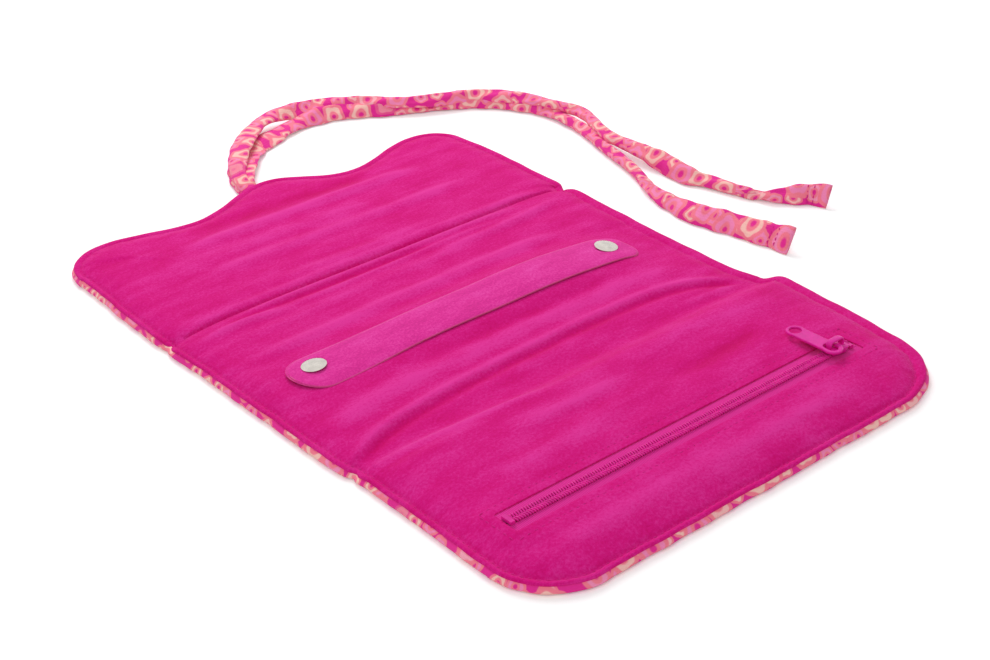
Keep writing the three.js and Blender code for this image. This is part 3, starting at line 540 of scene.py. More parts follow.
def smooth_route(points, spacing):
    """Evenly spaced points on a smooth curve through the given points."""
    points = np.asarray(points, dtype=float)
    padded = np.vstack([2 * points[0] - points[1], points, 2 * points[-1] - points[-2]])
    share = np.linspace(0, 1, 16, endpoint=False)[:, None]
    spans = []
    for a, b, c, d in zip(padded, padded[1:], padded[2:], padded[3:]):
        rise = (c - a) * share + (2 * a - 5 * b + 4 * c - d) * share ** 2
        spans.append(b + 0.5 * (rise + (3 * b - a - 3 * c + d) * share ** 3))
    return resample(np.vstack([*spans, points[-1:]]), spacing)


def unit(vectors):
    """Vectors of length one."""
    return vectors / np.linalg.norm(vectors, axis=-1, keepdims=True)


def loft(rings, capped=False):
    """Points and faces of a skin over closed rings with the same number of points."""
    rings = np.asarray(rings, dtype=float)
    ring_count, count = rings.shape[:2]
    faces = []
    for ring in range(ring_count - 1):
        for point in range(count):
            following = (point + 1) % count
            low = ring * count
            high = low + count
            faces.append((low + point, low + following, high + following, high + point))
    if capped:
        last = (ring_count - 1) * count
        faces.append(tuple(range(count - 1, -1, -1)))
        faces.append(tuple(last + point for point in range(count)))
    return rings.reshape(-1, 3), faces


def gather(parts):
    """One set of points and faces from several."""
    points = []
    faces = []
    start = 0
    for part_points, part_faces in parts:
        points.append(part_points)
        faces.extend(tuple(start + index for index in face) for face in part_faces)
        start += len(part_points)
    return np.vstack(points), faces


def turned(profile, sides=48):
    """Skin turned about an upright axis, from a profile of radius and height."""
    angles = np.linspace(0, 2 * math.pi, sides, endpoint=False)
    rings = [
        np.stack([radius * np.cos(angles), radius * np.sin(angles), np.full(sides, height)], axis=1)
        for radius, height in profile
    ]
    return loft(rings, capped=True)


def tube(path, radius, sides):
    """Round tube along a path that doesn't start straight up."""
    tangents = unit(np.gradient(path, axis=0))
    angles = np.linspace(0, 2 * math.pi, sides, endpoint=False)[:, None]
    rings = []
    side = unit(np.cross(tangents[0], [0, 0, 1]))
    for place, tangent in zip(path, tangents):
        side = unit(side - (side @ tangent) * tangent)
        lift = np.cross(tangent, side)
        rings.append(place + radius * (np.cos(angles) * side + np.sin(angles) * lift))
    return loft(rings, capped=True)


def stitch_row(line, length, gap, radius, up=(0, 0, 1)):
    """Separate stitches along a line, each a short thread that dips into the cloth at both ends."""
    along = np.concatenate([[0], np.cumsum(np.linalg.norm(np.diff(line, axis=0), axis=1))])
    count = max(1, int((along[-1] + gap) // (length + gap)))
    start = (along[-1] - count * (length + gap) + gap) / 2
    shares = np.linspace(0, 1, 5)
    angles = np.linspace(0, 2 * math.pi, 6, endpoint=False)
    parts = []
    for number in range(count):
        stations = start + number * (length + gap) + shares * length
        middle = np.stack([np.interp(stations, along, line[:, axis]) for axis in range(3)], axis=1)
        tangent = unit(middle[-1] - middle[0])
        side = unit(np.cross(tangent, up))
        lift = np.cross(side, tangent)
        middle = middle + (radius * (2.2 * np.sin(math.pi * shares) - 1.2))[:, None] * lift
        girth = radius * (0.55 + 0.45 * np.sin(math.pi * shares))
        rings = [
            point + r * (np.cos(angles)[:, None] * side - np.sin(angles)[:, None] * lift)
            for point, r in zip(middle, girth)
        ]
        parts.append(loft(rings, capped=True))
    return gather(parts)


def leaning_axes(tangents, twist):
    """Directions across a leaning tie and out of its face."""
    side = unit(np.cross(tangents, [0, 0, 1]))
    lift = np.cross(side, tangents)
    cosine, sine = np.cos(twist)[..., None], np.sin(twist)[..., None]
    return cosine * side + sine * lift, cosine * lift - sine * side


def rounded_slab(outline, low, high, edge):
    """Flat plate of an outline with rounded rims."""
    normals = inward(outline)
    steps = [(edge, 0), (0.3 * edge, 0.3 * edge), (0, edge)]
    levels = [(inset, low + rise) for inset, rise in steps]
    levels += [(inset, high - rise) for inset, rise in reversed(steps)]
    rings = []
    for inset, height in levels:
        plan = outline + inset * normals
        rings.append(np.column_stack([plan, np.full(len(plan), height)]))
    return loft(rings, capped=True)


def inside_loop(points, loop):
    """Which points lie inside a closed loop."""
    inside = np.zeros(len(points), dtype=bool)
    for (x0, y0), (x1, y1) in zip(loop, np.roll(loop, -1, axis=0)):
        if y1 != y0:
            crosses = (y0 > points[:, 1]) != (y1 > points[:, 1])
            inside ^= crosses & (points[:, 0] < x0 + (points[:, 1] - y0) * (x1 - x0) / (y1 - y0))
    return inside


def holed_plate(outline, holes, low, high, edge):
    """Flat plate with holes and rounded rims; all its loops run anticlockwise."""
    walls = []
    rims = []
    for number, loop in enumerate([outline, *holes]):
        into = inward(loop) if number == 0 else -inward(loop)
        levels = [(edge, low), (0.3 * edge, low + 0.3 * edge), (0, low + edge)]
        levels += [(inset, low + high - height) for inset, height in reversed(levels)]
        rings = [
            np.column_stack([loop + inset * into, np.full(len(loop), height)])
            for inset, height in levels
        ]
        points, faces = loft(rings)
        walls.append((points, faces if number == 0 else [face[::-1] for face in faces]))
        rims.append(loop + edge * into)
    plan = np.vstack(rims)
    edges = []
    start = 0
    for rim in rims:
        edges += [(start + i, start + (i + 1) % len(rim)) for i in range(len(rim))]
        start += len(rim)
    result = delaunay_2d_cdt([tuple(point) for point in plan / MM], edges, [], 0, 1e-6)
    flat = np.array([tuple(point) for point in result[0]]) * MM
    triangles = np.array(result[2])
    centres = flat[triangles].mean(axis=1)
    keep = inside_loop(centres, rims[0])
    for rim in rims[1:]:
        keep &= ~inside_loop(centres, rim)
    top = np.column_stack([flat, np.full(len(flat), high)])
    bottom = np.column_stack([flat, np.full(len(flat), low)])
    faces = triangles[keep]
    caps = [(top, [tuple(face) for face in faces]), (bottom, [tuple(face[::-1]) for face in faces])]
    return gather(walls + caps)


def inward(outline):
    """Normals that point into a closed outline which runs anticlockwise."""
    tangents = unit(np.roll(outline, -1, axis=0) - np.roll(outline, 1, axis=0))
    return np.column_stack([-tangents[:, 1], tangents[:, 0]])


def make_piece(name, points, faces, finish, uv=None, flat=False):
    """A mesh object of the given points and faces."""
    mesh = bpy.data.meshes.new(name)
    faces = [tuple(int(index) for index in face) for face in faces]
    mesh.from_pydata(np.asarray(points).tolist(), [], faces)
    if uv is not None:
        layer = mesh.uv_layers.new(name="cloth")
        corners = np.empty(len(mesh.loops), dtype=np.int32)
        mesh.loops.foreach_get("vertex_index", corners)
        layer.data.foreach_set("uv", np.asarray(uv)[corners].astype(np.float32).ravel())
    mesh.polygons.foreach_set("use_smooth", [not flat] * len(mesh.polygons))
    mesh.materials.append(finish)
    mesh.validate()
    piece = bpy.data.objects.new(name, mesh)
    bpy.context.scene.collection.objects.link(piece)
    return piece


def add_attribute(piece, name, values):
    """A number for each point of a piece, for its finish."""
    attribute = piece.data.attributes.new(name, "FLOAT", "POINT")
    attribute.data.foreach_set("value", np.asarray(values, dtype=np.float32))


# Plan of the pouch

def arc(centre, radius, start, end):
    """Points of an arc, in degrees."""
    angles = np.radians(np.linspace(start, end, 24))
    x, y = centre
    return np.column_stack([x + radius * np.cos(angles), y + radius * np.sin(angles)])


def flap_edge_depth(x):
    """How far the flap's far edge lies behind its tip."""
    shoulder = HALF_WIDTH - np.where(x < 0, LEFT_FLAP_CORNER, RIGHT_FLAP_CORNER)
    side = np.minimum(np.abs(x - FLAP_TIP_X * (1 - np.abs(x) / shoulder)), shoulder)
    dip = np.where(x < 0, LEFT_DIP_DEPTH, RIGHT_DIP_DEPTH)
    bump = dip * (1 - np.cos(math.pi * side / FLAP_DIP_X)) / 2
    fall = (1 - np.cos(math.pi * (side - FLAP_DIP_X) / (shoulder - FLAP_DIP_X))) / 2
    shoulder_depth = np.where(x < 0, LEFT_SHOULDER_DEPTH, RIGHT_SHOULDER_DEPTH)
    sweep = dip + (shoulder_depth - dip) * fall ** np.where(x < 0, 1, RIGHT_SWEEP)
    return np.where(side < FLAP_DIP_X, bump, sweep)


def bulge(side, y):
    """How far a side lies outside a straight line."""
    points = np.array(RIGHT_BULGE if side > 0 else LEFT_BULGE) * MM
    line = smooth_route(points, ROUTE_SPACING)
    return np.interp(y, line[:, 0], line[:, 1])


def side_line(side, low, high):
    """One long side of the pouch, nipped in at the folds."""
    y = np.linspace(low, high, 400)
    x = HALF_WIDTH + bulge(side, y)
    for fold, nip_side, depth in NIPS:
        if nip_side == side:
            x -= depth / (1 + ((y - fold) / NIP_REACH) ** 2)
    return np.column_stack([side * x, y])


def pouch_outline():
    """Outline of the open pouch, anticlockwise."""
    left_far = FLAP_TIP - LEFT_SHOULDER_DEPTH - LEFT_FLAP_CORNER
    right_far = FLAP_TIP - RIGHT_SHOULDER_DEPTH - RIGHT_FLAP_CORNER
    left_near = NEAR_EDGE + NEAR_INSET + LEFT_POCKET_CORNER
    right_near = NEAR_EDGE + NEAR_INSET + RIGHT_POCKET_CORNER
    left_corner = LEFT_POCKET_CORNER - HALF_WIDTH
    right_corner = HALF_WIDTH + bulge(1, right_near) - RIGHT_POCKET_CORNER
    left_shoulder = LEFT_FLAP_CORNER - HALF_WIDTH
    right_shoulder = HALF_WIDTH + bulge(1, right_far) - RIGHT_FLAP_CORNER
    edge_x = np.linspace(right_shoulder, left_shoulder, 200)
    points = np.vstack([
        arc((left_corner, left_near), LEFT_POCKET_CORNER, 180, 270),
        arc((right_corner, right_near), RIGHT_POCKET_CORNER, 270, 360),
        side_line(1, right_near, right_far)[1:-1],
        arc((right_shoulder, right_far), RIGHT_FLAP_CORNER, 0, 90),
        np.column_stack([edge_x, FLAP_TIP - flap_edge_depth(edge_x)])[1:-1],
        arc((left_shoulder, left_far), LEFT_FLAP_CORNER, 90, 180),
        side_line(-1, left_near, left_far)[::-1][1:-1],
    ])
    line = resample(points, OUTLINE_SPACING, closed=True)
    turn = 2 * math.pi * np.arange(len(line)) / len(line)
    wobble = sum(share * np.sin(count * turn + phase) for share, count, phase in EDGE_WAVES)
    return line + EDGE_WOBBLE * (wobble[:, None] + 0.8) * inward(line)


OUTLINE = pouch_outline()
OUTLINE_IN = inward(OUTLINE)
EDGE_TREE = KDTree(len(OUTLINE))
for number, place in enumerate(OUTLINE):
    EDGE_TREE.insert((*place, 0), number)
EDGE_TREE.balance()


def edge_distance(points):
    """How far points lie inside the outline, and which point of it is nearest."""
    nearest = np.array([EDGE_TREE.find((x, y, 0))[1] for x, y in points])
    shortest = np.full(len(points), np.inf)
    for shift in (-1, 0):
        start = OUTLINE[(nearest + shift) % len(OUTLINE)]
        span = OUTLINE[(nearest + shift + 1) % len(OUTLINE)] - start
        share = np.clip(np.sum((points - start) * span, axis=1) / np.sum(span * span, axis=1), 0, 1)
        gap = np.linalg.norm(points - start - share[:, None] * span, axis=1)
        shortest = np.minimum(shortest, gap)
    return shortest, nearest


def window_distance(points):
    """Signed distance to the zip window, negative inside it."""
    centre = np.array([(WINDOW_LEFT + WINDOW_RIGHT) / 2, ZIP_Y])
    half = np.array([(WINDOW_RIGHT - WINDOW_LEFT) / 2, WINDOW_HALF])
    over = np.abs(points - centre) - half
    outside = np.linalg.norm(np.maximum(over, 0), axis=1)
    return outside + np.minimum(over.max(axis=1), 0)


def window_loop(spacing, margin=0.0):
    """Points round the zip window, anticlockwise."""
    left, right = WINDOW_LEFT - margin, WINDOW_RIGHT + margin
    low, high = ZIP_Y - WINDOW_HALF - margin, ZIP_Y + WINDOW_HALF + margin
    corners = np.array([(left, low), (right, low), (right, high), (left, high)])
    return resample(corners, spacing, closed=True)


def plan_mesh(insets, spacing, window=False):
    """Points and triangles that fill the outline: rings near the edge and a grid inside them."""
    points = [OUTLINE + insets[0] * OUTLINE_IN]
    for inset in insets[1:]:
        ring = OUTLINE + inset * OUTLINE_IN
        points.append(ring[edge_distance(ring)[0] > inset - RING_SLACK])
    columns = np.arange(-HALF_WIDTH, HALF_WIDTH, spacing)
    rows = np.arange(NEAR_EDGE, FLAP_TIP, spacing)
    rows = rows[np.abs(rows - FLAP_FOLD_Y) > CREASE_BAND]
    rows = np.concatenate([rows, FLAP_FOLD_Y + CREASE_ROWS])
    grid = np.stack(np.meshgrid(columns, rows), axis=-1).reshape(-1, 2)
    grid[:, 0] += 0.3 * spacing * np.sin(grid[:, 1] / spacing * 1.7)
    grid = grid[inside_loop(grid, OUTLINE)]
    points.append(grid[edge_distance(grid)[0] > insets[-1] + 0.6 * spacing])
    loops = [len(points[0])]
    points = np.vstack(points)
    if window:
        points = points[np.concatenate([
            np.ones(loops[0], dtype=bool), window_distance(points[loops[0]:]) > WINDOW_CLEAR,
        ])]
        hole = window_loop(spacing)
        points = np.vstack([points, hole])
        loops.append(len(hole))
    edges = []
    for start, count in zip((0, len(points) - loops[-1]), loops):
        edges += [(start + i, start + (i + 1) % count) for i in range(count)]
    result = delaunay_2d_cdt([tuple(p) for p in points / MM], edges, [], 0, 1e-6)
    plan = np.array([tuple(p) for p in result[0]]) * MM
    triangles = np.array(result[2])
    centres = plan[triangles].mean(axis=1)
    keep = inside_loop(centres, points[:loops[0]])
    if window:
        keep &= window_distance(centres) > 0
    return plan, triangles[keep], loops[0]


def fold_nearness(points, reach):
    """1 at the folds' ends on the sides, falling to 0 away from them."""
    total = np.zeros(len(points))
    for fold, side, _ in NIPS:
        along = hump(points[:, 1] - fold, reach)
        across = hump(HALF_WIDTH - side * points[:, 0], 2.2 * reach)
        total = np.maximum(total, along * across)
    return total


def ripples(points, seed, count=16):
    """Fine uneven wrinkles that run across the pouch, about 1 high at most."""
    draw = np.random.default_rng(seed)
    total = np.zeros(len(points))
    for _ in range(count):
        long_wave = draw.uniform(70, 160) * MM
        short_wave = draw.uniform(10, 26) * MM
        slant = draw.uniform(-0.12, 0.12)
        phase = draw.uniform(0, 2 * math.pi, 2)
        swell = np.sin(2 * math.pi * points[:, 0] / long_wave + phase[0])
        wave = np.sin(2 * math.pi * (points[:, 1] + slant * points[:, 0]) / short_wave + phase[1])
        total += swell * wave
    return total / math.sqrt(count)


def ridges(points):
    """Height of the soft ridges in the lining."""
    x, y = points.T
    total = np.zeros(len(points))
    for height, reach, crest in RIDGES:
        line = smooth_route(np.array(crest) * MM, ROUTE_SPACING)
        middle = np.interp(x, line[:, 0], line[:, 1])
        start, end = line[0, 0], line[-1, 0]
        fade = smoothstep((x - start) / RIDGE_FADE) * smoothstep((end - x) / RIDGE_FADE)
        total += height * MM * fade * hump(y - middle, reach * MM)
    return total


def on_near_side():
    """How much each point of the outline faces the near and left sides."""
    return smoothstep(0.5 + 0.9 * OUTLINE_IN @ LIP_NEAR)


def lip_shape(settings):
    """Top of the lip, place of the seam and spread of the crown for each point of the outline."""
    near = on_near_side()
    before_flap = smoothstep((FLAP_FOLD_Y - OUTLINE[:, 1]) / LIP_WIDER_FADE)
    right = smoothstep(-OUTLINE_IN[:, 0]) * before_flap
    lip_top = LIP_BOTTOM + settings.lip_height - LIP_DROP * near
    return lip_top, settings.seam_inset + LIP_WIDER * right, CROWN_SPREAD + CROWN_WIDER * near


def strap_line(x):
    """Middle of the slightly slanting strap."""
    across = (x - SNAPS["left"]) / (SNAPS["right"] - SNAPS["left"])
    return STRAP_Y + STRAP_SHIFT + STRAP_SLANT * (0.5 - across)


def strap_bow(x):
    """How far the arched strap rises."""
    line = smooth_route(STRAP_ARCH, 0.02)
    across = (x - SNAPS["left"]) / (SNAPS["right"] - SNAPS["left"])
    return np.interp(across, line[:, 0], line[:, 1]) * MM


def padding_height(inset, nearest, y, settings):
    """Height of the smooth padding: rolled edge, lip, topstitched seam and crown."""
    lip_top, seam, spread = (line[nearest] for line in lip_shape(settings))
    pocket_share = smoothstep((POCKET_FOLD_Y - y - POCKET_RISE_START) / POCKET_RISE_REACH)
    crown_top = MIDDLE_TOP + (POCKET_TOP - MIDDLE_TOP) * pocket_share
    crown = (crown_top - lip_top) * (1 - np.exp(-np.maximum(inset - seam, 0) / spread))
    swell = LIP_SWELL * np.sin(math.pi * np.clip(inset / seam, 0, 1))
    roll = 1 - np.sqrt(np.clip(1 - (1 - np.clip(inset / EDGE_ROLL, 0, 1)) ** 2, 0, 1))
    groove = settings.seam_depth * hump(inset - seam, SEAM_REACH)
    pillow = PILLOW_HEIGHT * hump(inset - PILLOW_INSET, PILLOW_REACH)
    return lip_top + crown + swell + pillow - groove - EDGE_ROLL * roll


def crease_depth(points, within):
    """Depth of the creases along the folds and at their ends."""
    y = points[:, 1]
    flap_crease = sum(depth * hump(y - FLAP_FOLD_Y, reach) for depth, reach in FLAP_CREASES)
    pocket_crease = POCKET_CREASE_DEPTH * hump(y - POCKET_FOLD_Y, POCKET_CREASE_REACH)
    creases = flap_crease * (0.6 + 0.4 * within) + pocket_crease * within
    return creases + FOLD_END_DEPTH * fold_nearness(points, FOLD_END_REACH)


def wrinkle_height(points, inset, nearest, within, under_strap):
    """Height of the ridges, the fine ripples and the puckers beside the seam."""
    away_from_zip = smoothstep((window_distance(points) - WINDOW_CALM) / WINDOW_CALM_REACH)
    wrinkle = RIDGE_GAIN * ridges(points) * (0.35 + 0.65 * within)
    wrinkle += RIPPLE_HEIGHT * ripples(points, LINING_SEED) * within
    wrinkle *= away_from_zip * (1 - 0.8 * under_strap)
    turn = 2 * math.pi * nearest * OUTLINE_SPACING
    pucker = np.sin(turn / PUCKER_WAVES[0]) + np.sin(turn / PUCKER_WAVES[1] + 1)
    return wrinkle + PUCKER_HEIGHT * pucker * hump(inset - PUCKER_INSET, PUCKER_REACH)


def lining_height(points, settings):
    """Height of the lining's face, and how much of it is ridge, which the velvet turns into painted
    highlight on the crests and painted shade in the hollows.
    """
    inset, nearest = edge_distance(points)
    x, y = points.T
    within = smoothstep((inset - CALM_EDGE) / CALM_EDGE_REACH)
    height = padding_height(inset, nearest, y, settings) - crease_depth(points, within)

    from_strap = y - strap_line(x)
    under_strap = hump(from_strap, STRAP_BED_REACH, 4)
    wrinkle = wrinkle_height(points, inset, nearest, within, under_strap)
    height += wrinkle + STRAP_BED_RISE * under_strap * within
    bow = strap_bow(x)
    follows = np.where(bow > 0, LINING_FOLLOWS, 1)
    height += follows * bow * hump(from_strap, STRAP_ARCH_REACH, 4) * within

    gap = window_distance(points)
    slope = 1 - smoothstep((gap - WINDOW_SLOPE_START) / WINDOW_SLOPE)
    height += (TAPE_TOP + WINDOW_RISE - height) * 0.9 * slope
    height -= WINDOW_SEAM_DEPTH * hump(gap - WINDOW_STITCH_MARGIN, SEAM_REACH)
    height -= WINDOW_EDGE_DEPTH * hump(gap, SEAM_REACH)
    for snap_x in SNAPS.values():
        radius = np.hypot(x - snap_x, y - STRAP_Y)
        hollow = 1 - smoothstep((radius - SNAP_HOLLOW_RADIUS) / SNAP_HOLLOW_SLOPE)
        height += (SNAP_HOLLOW_Z - height) * hollow
    # The second value drives the velvet's painted highlight and painted shade on the wrinkles
    return height, np.clip(wrinkle / MM, -1, 1)


def fold_with(piece):
    """Bakes a piece of cloth's placement into its mesh."""
    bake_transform(piece)


def in_half(centres_y, half):
    """Which faces belong to a half."""
    return (centres_y - STRAP_Y) * HALVES[half][2] >= 0


def cloth_half(name, points, faces, half, finish, uv, ridge_shading=None):
    """One half of a cloth that covers the whole pouch, shaded as one with the other half."""
    whole = make_piece(name, points, faces, finish)
    normals = np.empty(len(points) * 3, dtype=np.float32)
    whole.data.vertex_normals.foreach_get("vector", normals)
    normals = normals.reshape(-1, 3)
    bpy.data.meshes.remove(whole.data)
    centres = np.array([points[list(face), 1].mean() for face in faces])
    chosen = [face for face, keep in zip(faces, in_half(centres, half)) if keep]
    used = np.unique(np.concatenate([np.array(face) for face in chosen]))
    place = np.full(len(points), -1)
    place[used] = np.arange(len(used))
    chosen = [tuple(place[list(face)]) for face in chosen]
    piece = make_piece(name, points[used], chosen, finish, uv[used])
    # Ridge values, which the velvet paints as highlight on the crests and shade in the hollows
    if ridge_shading is not None:
        add_attribute(piece, "crest", ridge_shading[used])
    piece.data.normals_split_custom_set_from_vertices(normals[used].tolist())
    return piece


# Finishes

class Finish:
    """A material put together from a few steps."""

    def __init__(self, name, **values):
        self.material = bpy.data.materials.new(name)
        self.material.use_nodes = True
        self.tree = self.material.node_tree
        self.tree.nodes.clear()
        self.shader = self.add("ShaderNodeBsdfPrincipled")
        output = self.add("ShaderNodeOutputMaterial")
        self.tree.links.new(self.shader.outputs["BSDF"], output.inputs["Surface"])
        for socket, value in values.items():
            self.set(socket.replace("_", " ").title().replace("Ior", "IOR"), value)

    def add(self, kind, **settings):
        """A new node with the given settings."""
        node = self.tree.nodes.new(kind)
        for name, value in settings.items():
            setattr(node, name, value)
        return node

    def feed(self, socket, value):
        """Links a socket to another one, or sets its value."""
        if isinstance(value, bpy.types.NodeSocket):
            self.tree.links.new(value, socket)
        elif socket.type == "RGBA" and len(value) == 3:
            socket.default_value = (*value, 1)
        else:
            socket.default_value = value

    def set(self, socket, value):
        """Feeds a socket of the shader."""
        self.feed(self.shader.inputs[socket], value)

    def cloth(self, stretch=(1, 1, 1)):
        """Place on the flat cloth, in metres."""
        return self.stretched(self.add("ShaderNodeUVMap", uv_map="cloth").outputs["UV"], stretch)

    def body(self, stretch=(1, 1, 1)):
        """Place in the object, in metres."""
        return self.stretched(self.add("ShaderNodeTexCoord").outputs["Object"], stretch)

    def stretched(self, vector, stretch):
        """A place scaled along each axis."""
        node = self.add("ShaderNodeMapping")
        self.feed(node.inputs["Vector"], vector)
        node.inputs["Scale"].default_value = stretch
        return node.outputs["Vector"]

    def attribute(self, name):
        """A number that the mesh holds for each point."""
        return self.add("ShaderNodeAttribute", attribute_name=name).outputs["Fac"]

    def noise(self, vector, size, detail=3.0, roughness=0.55):
        """Noise with features of about the given size in metres."""
        node = self.add("ShaderNodeTexNoise")
        self.feed(node.inputs["Vector"], vector)
        node.inputs["Scale"].default_value = 1 / size
        node.inputs["Detail"].default_value = detail
        node.inputs["Roughness"].default_value = roughness
        return node.outputs["Fac"]

    def ribs(self, vector, across, scale, distortion):
        """Fine ribs, one after the other along the X or Y axis."""
        node = self.add("ShaderNodeTexWave", bands_direction=across)
        self.feed(node.inputs["Vector"], vector)
        node.inputs["Scale"].default_value = scale
        node.inputs["Distortion"].default_value = distortion
        return node.outputs["Fac"]

    def math(self, operation, first, second=0.0, third=0.0):
        """Result of one sum."""
        node = self.add("ShaderNodeMath", operation=operation)
        self.feed(node.inputs[0], first)
        self.feed(node.inputs[1], second)
        self.feed(node.inputs[2], third)
        return node.outputs["Value"]

    def weigh(self, start, *shares):
        """A number plus several values times their weights."""
        total = start
        for value, weight in shares:
            total = self.math("MULTIPLY_ADD", value, weight, total)
        return total

    def mix(self, share, first, second):
        """Colour between two others."""
        node = self.add("ShaderNodeMix", data_type="RGBA")
        self.feed(node.inputs["Factor"], share)
        self.feed(node.inputs[6], first)
        self.feed(node.inputs[7], second)
        return node.outputs[2]

    def rise(self, value, low, high):
        """0 below low, 1 above high, smooth between."""
        node = self.add("ShaderNodeMapRange", interpolation_type="SMOOTHSTEP")
        self.feed(node.inputs["Value"], value)
        node.inputs["From Min"].default_value = low
        node.inputs["From Max"].default_value = high
        return node.outputs["Result"]

    def ramp(self, value, stops):
        """Colour picked by a value, from stops of which the first two are the ends."""
        node = self.add("ShaderNodeValToRGB")
        self.feed(node.inputs["Fac"], value)
        elements = node.color_ramp.elements
        for number, (position, colour) in enumerate(stops):
            element = elements[number] if number < 2 else elements.new(position)
            element.position = position
            element.color = (*colour, 1)
        return node.outputs["Color"]

    def two_tones(self, pattern, colour, darker, low, high):
        """Base colour that runs from a darker tone at low to the full colour at high."""
        deep = tuple(darker * value for value in colour)
        self.set("Base Color", self.ramp(pattern, [(low, deep), (high, colour)]))

    def bump(self, height, depth, strength=1.0):
        """Fine relief of a depth in metres."""
        node = self.add("ShaderNodeBump")
        node.inputs["Strength"].default_value = strength
        node.inputs["Distance"].default_value = depth
        self.feed(node.inputs["Height"], height)
        self.set("Normal", node.outputs["Normal"])


def velvet_finish(settings):
    """Short pile, brushed in patches, with painted highlight on the wrinkles' crests and painted
    shade in their hollows.
    """
    finish = Finish(
        "velvet", roughness=0.95, sheen_weight=0.16, sheen_roughness=0.4,
        sheen_tint=(1.0, 0.5, 0.78), specular_ior_level=0.06,
    )
    pile = finish.noise(finish.cloth(), 1.3 * MM, 4, 0.8)
    brushed = finish.noise(finish.cloth((1, 1.5, 1)), 22 * MM, 4, 0.6)
    streaks = finish.noise(finish.cloth((0.35, 1.6, 1)), 9 * MM, 3, 0.6)
    # Ridge height of the lining: painted highlight on the crests and painted shade in the hollows
    crest = finish.attribute("crest")
    shade = finish.weigh(-0.25, (pile, 0.9), (brushed, 0.5), (streaks, 0.3), (crest, 0.2))
    colour = finish.ramp(shade, [
        (0.34, settings.pile_deep_and_hollow_shade), (0.84, settings.pile_light_and_crest_highlight), (0.58, settings.pile),
    ])
    finish.set("Base Color", colour)
    finish.bump(pile, 0.3 * MM, 0.7)
    return finish.material


def blossoms(finish, vector, size, shift):
    """Scattered blossoms: waved and round distance from each, and a number for each blossom."""
    moved = finish.add("ShaderNodeMapping")
    finish.feed(moved.inputs["Vector"], vector)
    moved.inputs["Location"].default_value = (shift * size, 1.7 * shift * size, 0)
    cells = finish.add("ShaderNodeTexVoronoi", voronoi_dimensions="2D", feature="F1")
    finish.feed(cells.inputs["Vector"], moved.outputs["Vector"])
    cells.inputs["Scale"].default_value = 1 / size
    cells.inputs["Randomness"].default_value = 0.55
    local = finish.add("ShaderNodeVectorMath", operation="SUBTRACT")
    finish.feed(local.inputs[0], moved.outputs["Vector"])
    finish.feed(local.inputs[1], cells.outputs["Position"])
    parts = finish.add("ShaderNodeSeparateXYZ")
    finish.feed(parts.inputs[0], local.outputs["Vector"])
    pick = finish.add("ShaderNodeSeparateColor")
    finish.feed(pick.inputs[0], cells.outputs["Color"])
    angle = finish.math("ARCTAN2", parts.outputs["Y"], parts.outputs["X"])
    turn = finish.math("MULTIPLY", pick.outputs["Red"], 2 * math.pi)
    lobes = finish.math("COSINE", finish.math("MULTIPLY_ADD", angle, 5.0, turn))
    wave = finish.math("MULTIPLY_ADD", lobes, -0.028, cells.outputs["Distance"])
    return wave, cells.outputs["Distance"], pick.outputs["Green"]


def print_finish(settings, name, relief=1.0):
    """Plain-weave cotton printed with scattered blossoms."""
    finish = Finish(
        name, roughness=0.9, sheen_weight=0.15, sheen_roughness=0.5, specular_ior_level=0.2,
    )
    cloth = finish.cloth()
    blur = finish.noise(cloth, 3 * MM, 3)
    colour = settings.ground
    scatters = [(0.6 * settings.motif_size, 0.37, 0.0), (settings.motif_size, 0.0, 0.12)]
    for size, shift, left_out in scatters:
        wave, radius, pick = blossoms(finish, cloth, size, shift)
        soft = finish.math("MULTIPLY_ADD", blur, 0.025, wave)
        pale = finish.mix(finish.rise(pick, 0.4, 0.6), settings.petal_inner, settings.blossom)
        chosen = finish.rise(pick, left_out, left_out + 0.04)
        inks = [
            (soft, 0.41, 0.45, settings.petal),
            (soft, 0.3, 0.34, pale),
            (radius, 0.16, 0.21, settings.petal),
            (radius, 0.06, 0.12, settings.ground),
        ]
        for distance, full, none, ink in inks:
            inside = finish.math("SUBTRACT", 1.0, finish.rise(distance, full, none))
            colour = finish.mix(finish.math("MULTIPLY", inside, chosen), colour, ink)
    finish.set("Base Color", colour)
    warp, weft = (finish.ribs(cloth, across, 350, 0.6) for across in "XY")
    weave = finish.math("MULTIPLY", warp, weft)
    finish.bump(finish.weigh(weave, (blur, 1.5)), 0.08 * MM * relief, 0.6)
    return finish.material


def suede_finish(settings):
    """Brushed microfibre with paler raw edges."""
    finish = Finish(
        "suede", roughness=0.92, sheen_weight=0.3, sheen_roughness=0.4,
        sheen_tint=(1.0, 0.55, 0.8), specular_ior_level=0.1,
    )
    grain = finish.noise(finish.cloth(), 1.2 * MM, 4, 0.8)
    brushed = finish.noise(finish.cloth((0.5, 1.5, 1)), 12 * MM, 4, 0.6)
    shade = finish.weigh(-0.25, (grain, 0.9), (brushed, 0.6))
    deep = tuple(0.86 * value for value in settings.suede)
    colour = finish.ramp(shade, [(0.36, deep), (0.68, settings.suede_light), (0.5, settings.suede)])
    finish.set("Base Color", finish.mix(finish.attribute("rim"), colour, settings.cut_edge))
    finish.bump(grain, 0.15 * MM, 0.5)
    return finish.material


def thread_finish(settings):
    """Twisted sewing thread."""
    finish = Finish("thread", roughness=0.9, specular_ior_level=0.08)
    strands = finish.noise(finish.body(), 0.35 * MM, 2)
    finish.two_tones(strands, settings.thread, 0.85, 0.35, 0.65)
    finish.bump(strands, 0.02 * MM, 0.3)
    return finish.material


def tape_finish(settings):
    """Woven zip tape with fine ribs."""
    finish = Finish("zip_tape", roughness=0.85, sheen_weight=0.08, specular_ior_level=0.1)
    ribs = finish.ribs(finish.body(), "X", 420, 1.2)
    finish.two_tones(ribs, settings.tape, 0.75, 0.2, 0.8)
    finish.bump(ribs, 0.05 * MM, 0.5)
    return finish.material


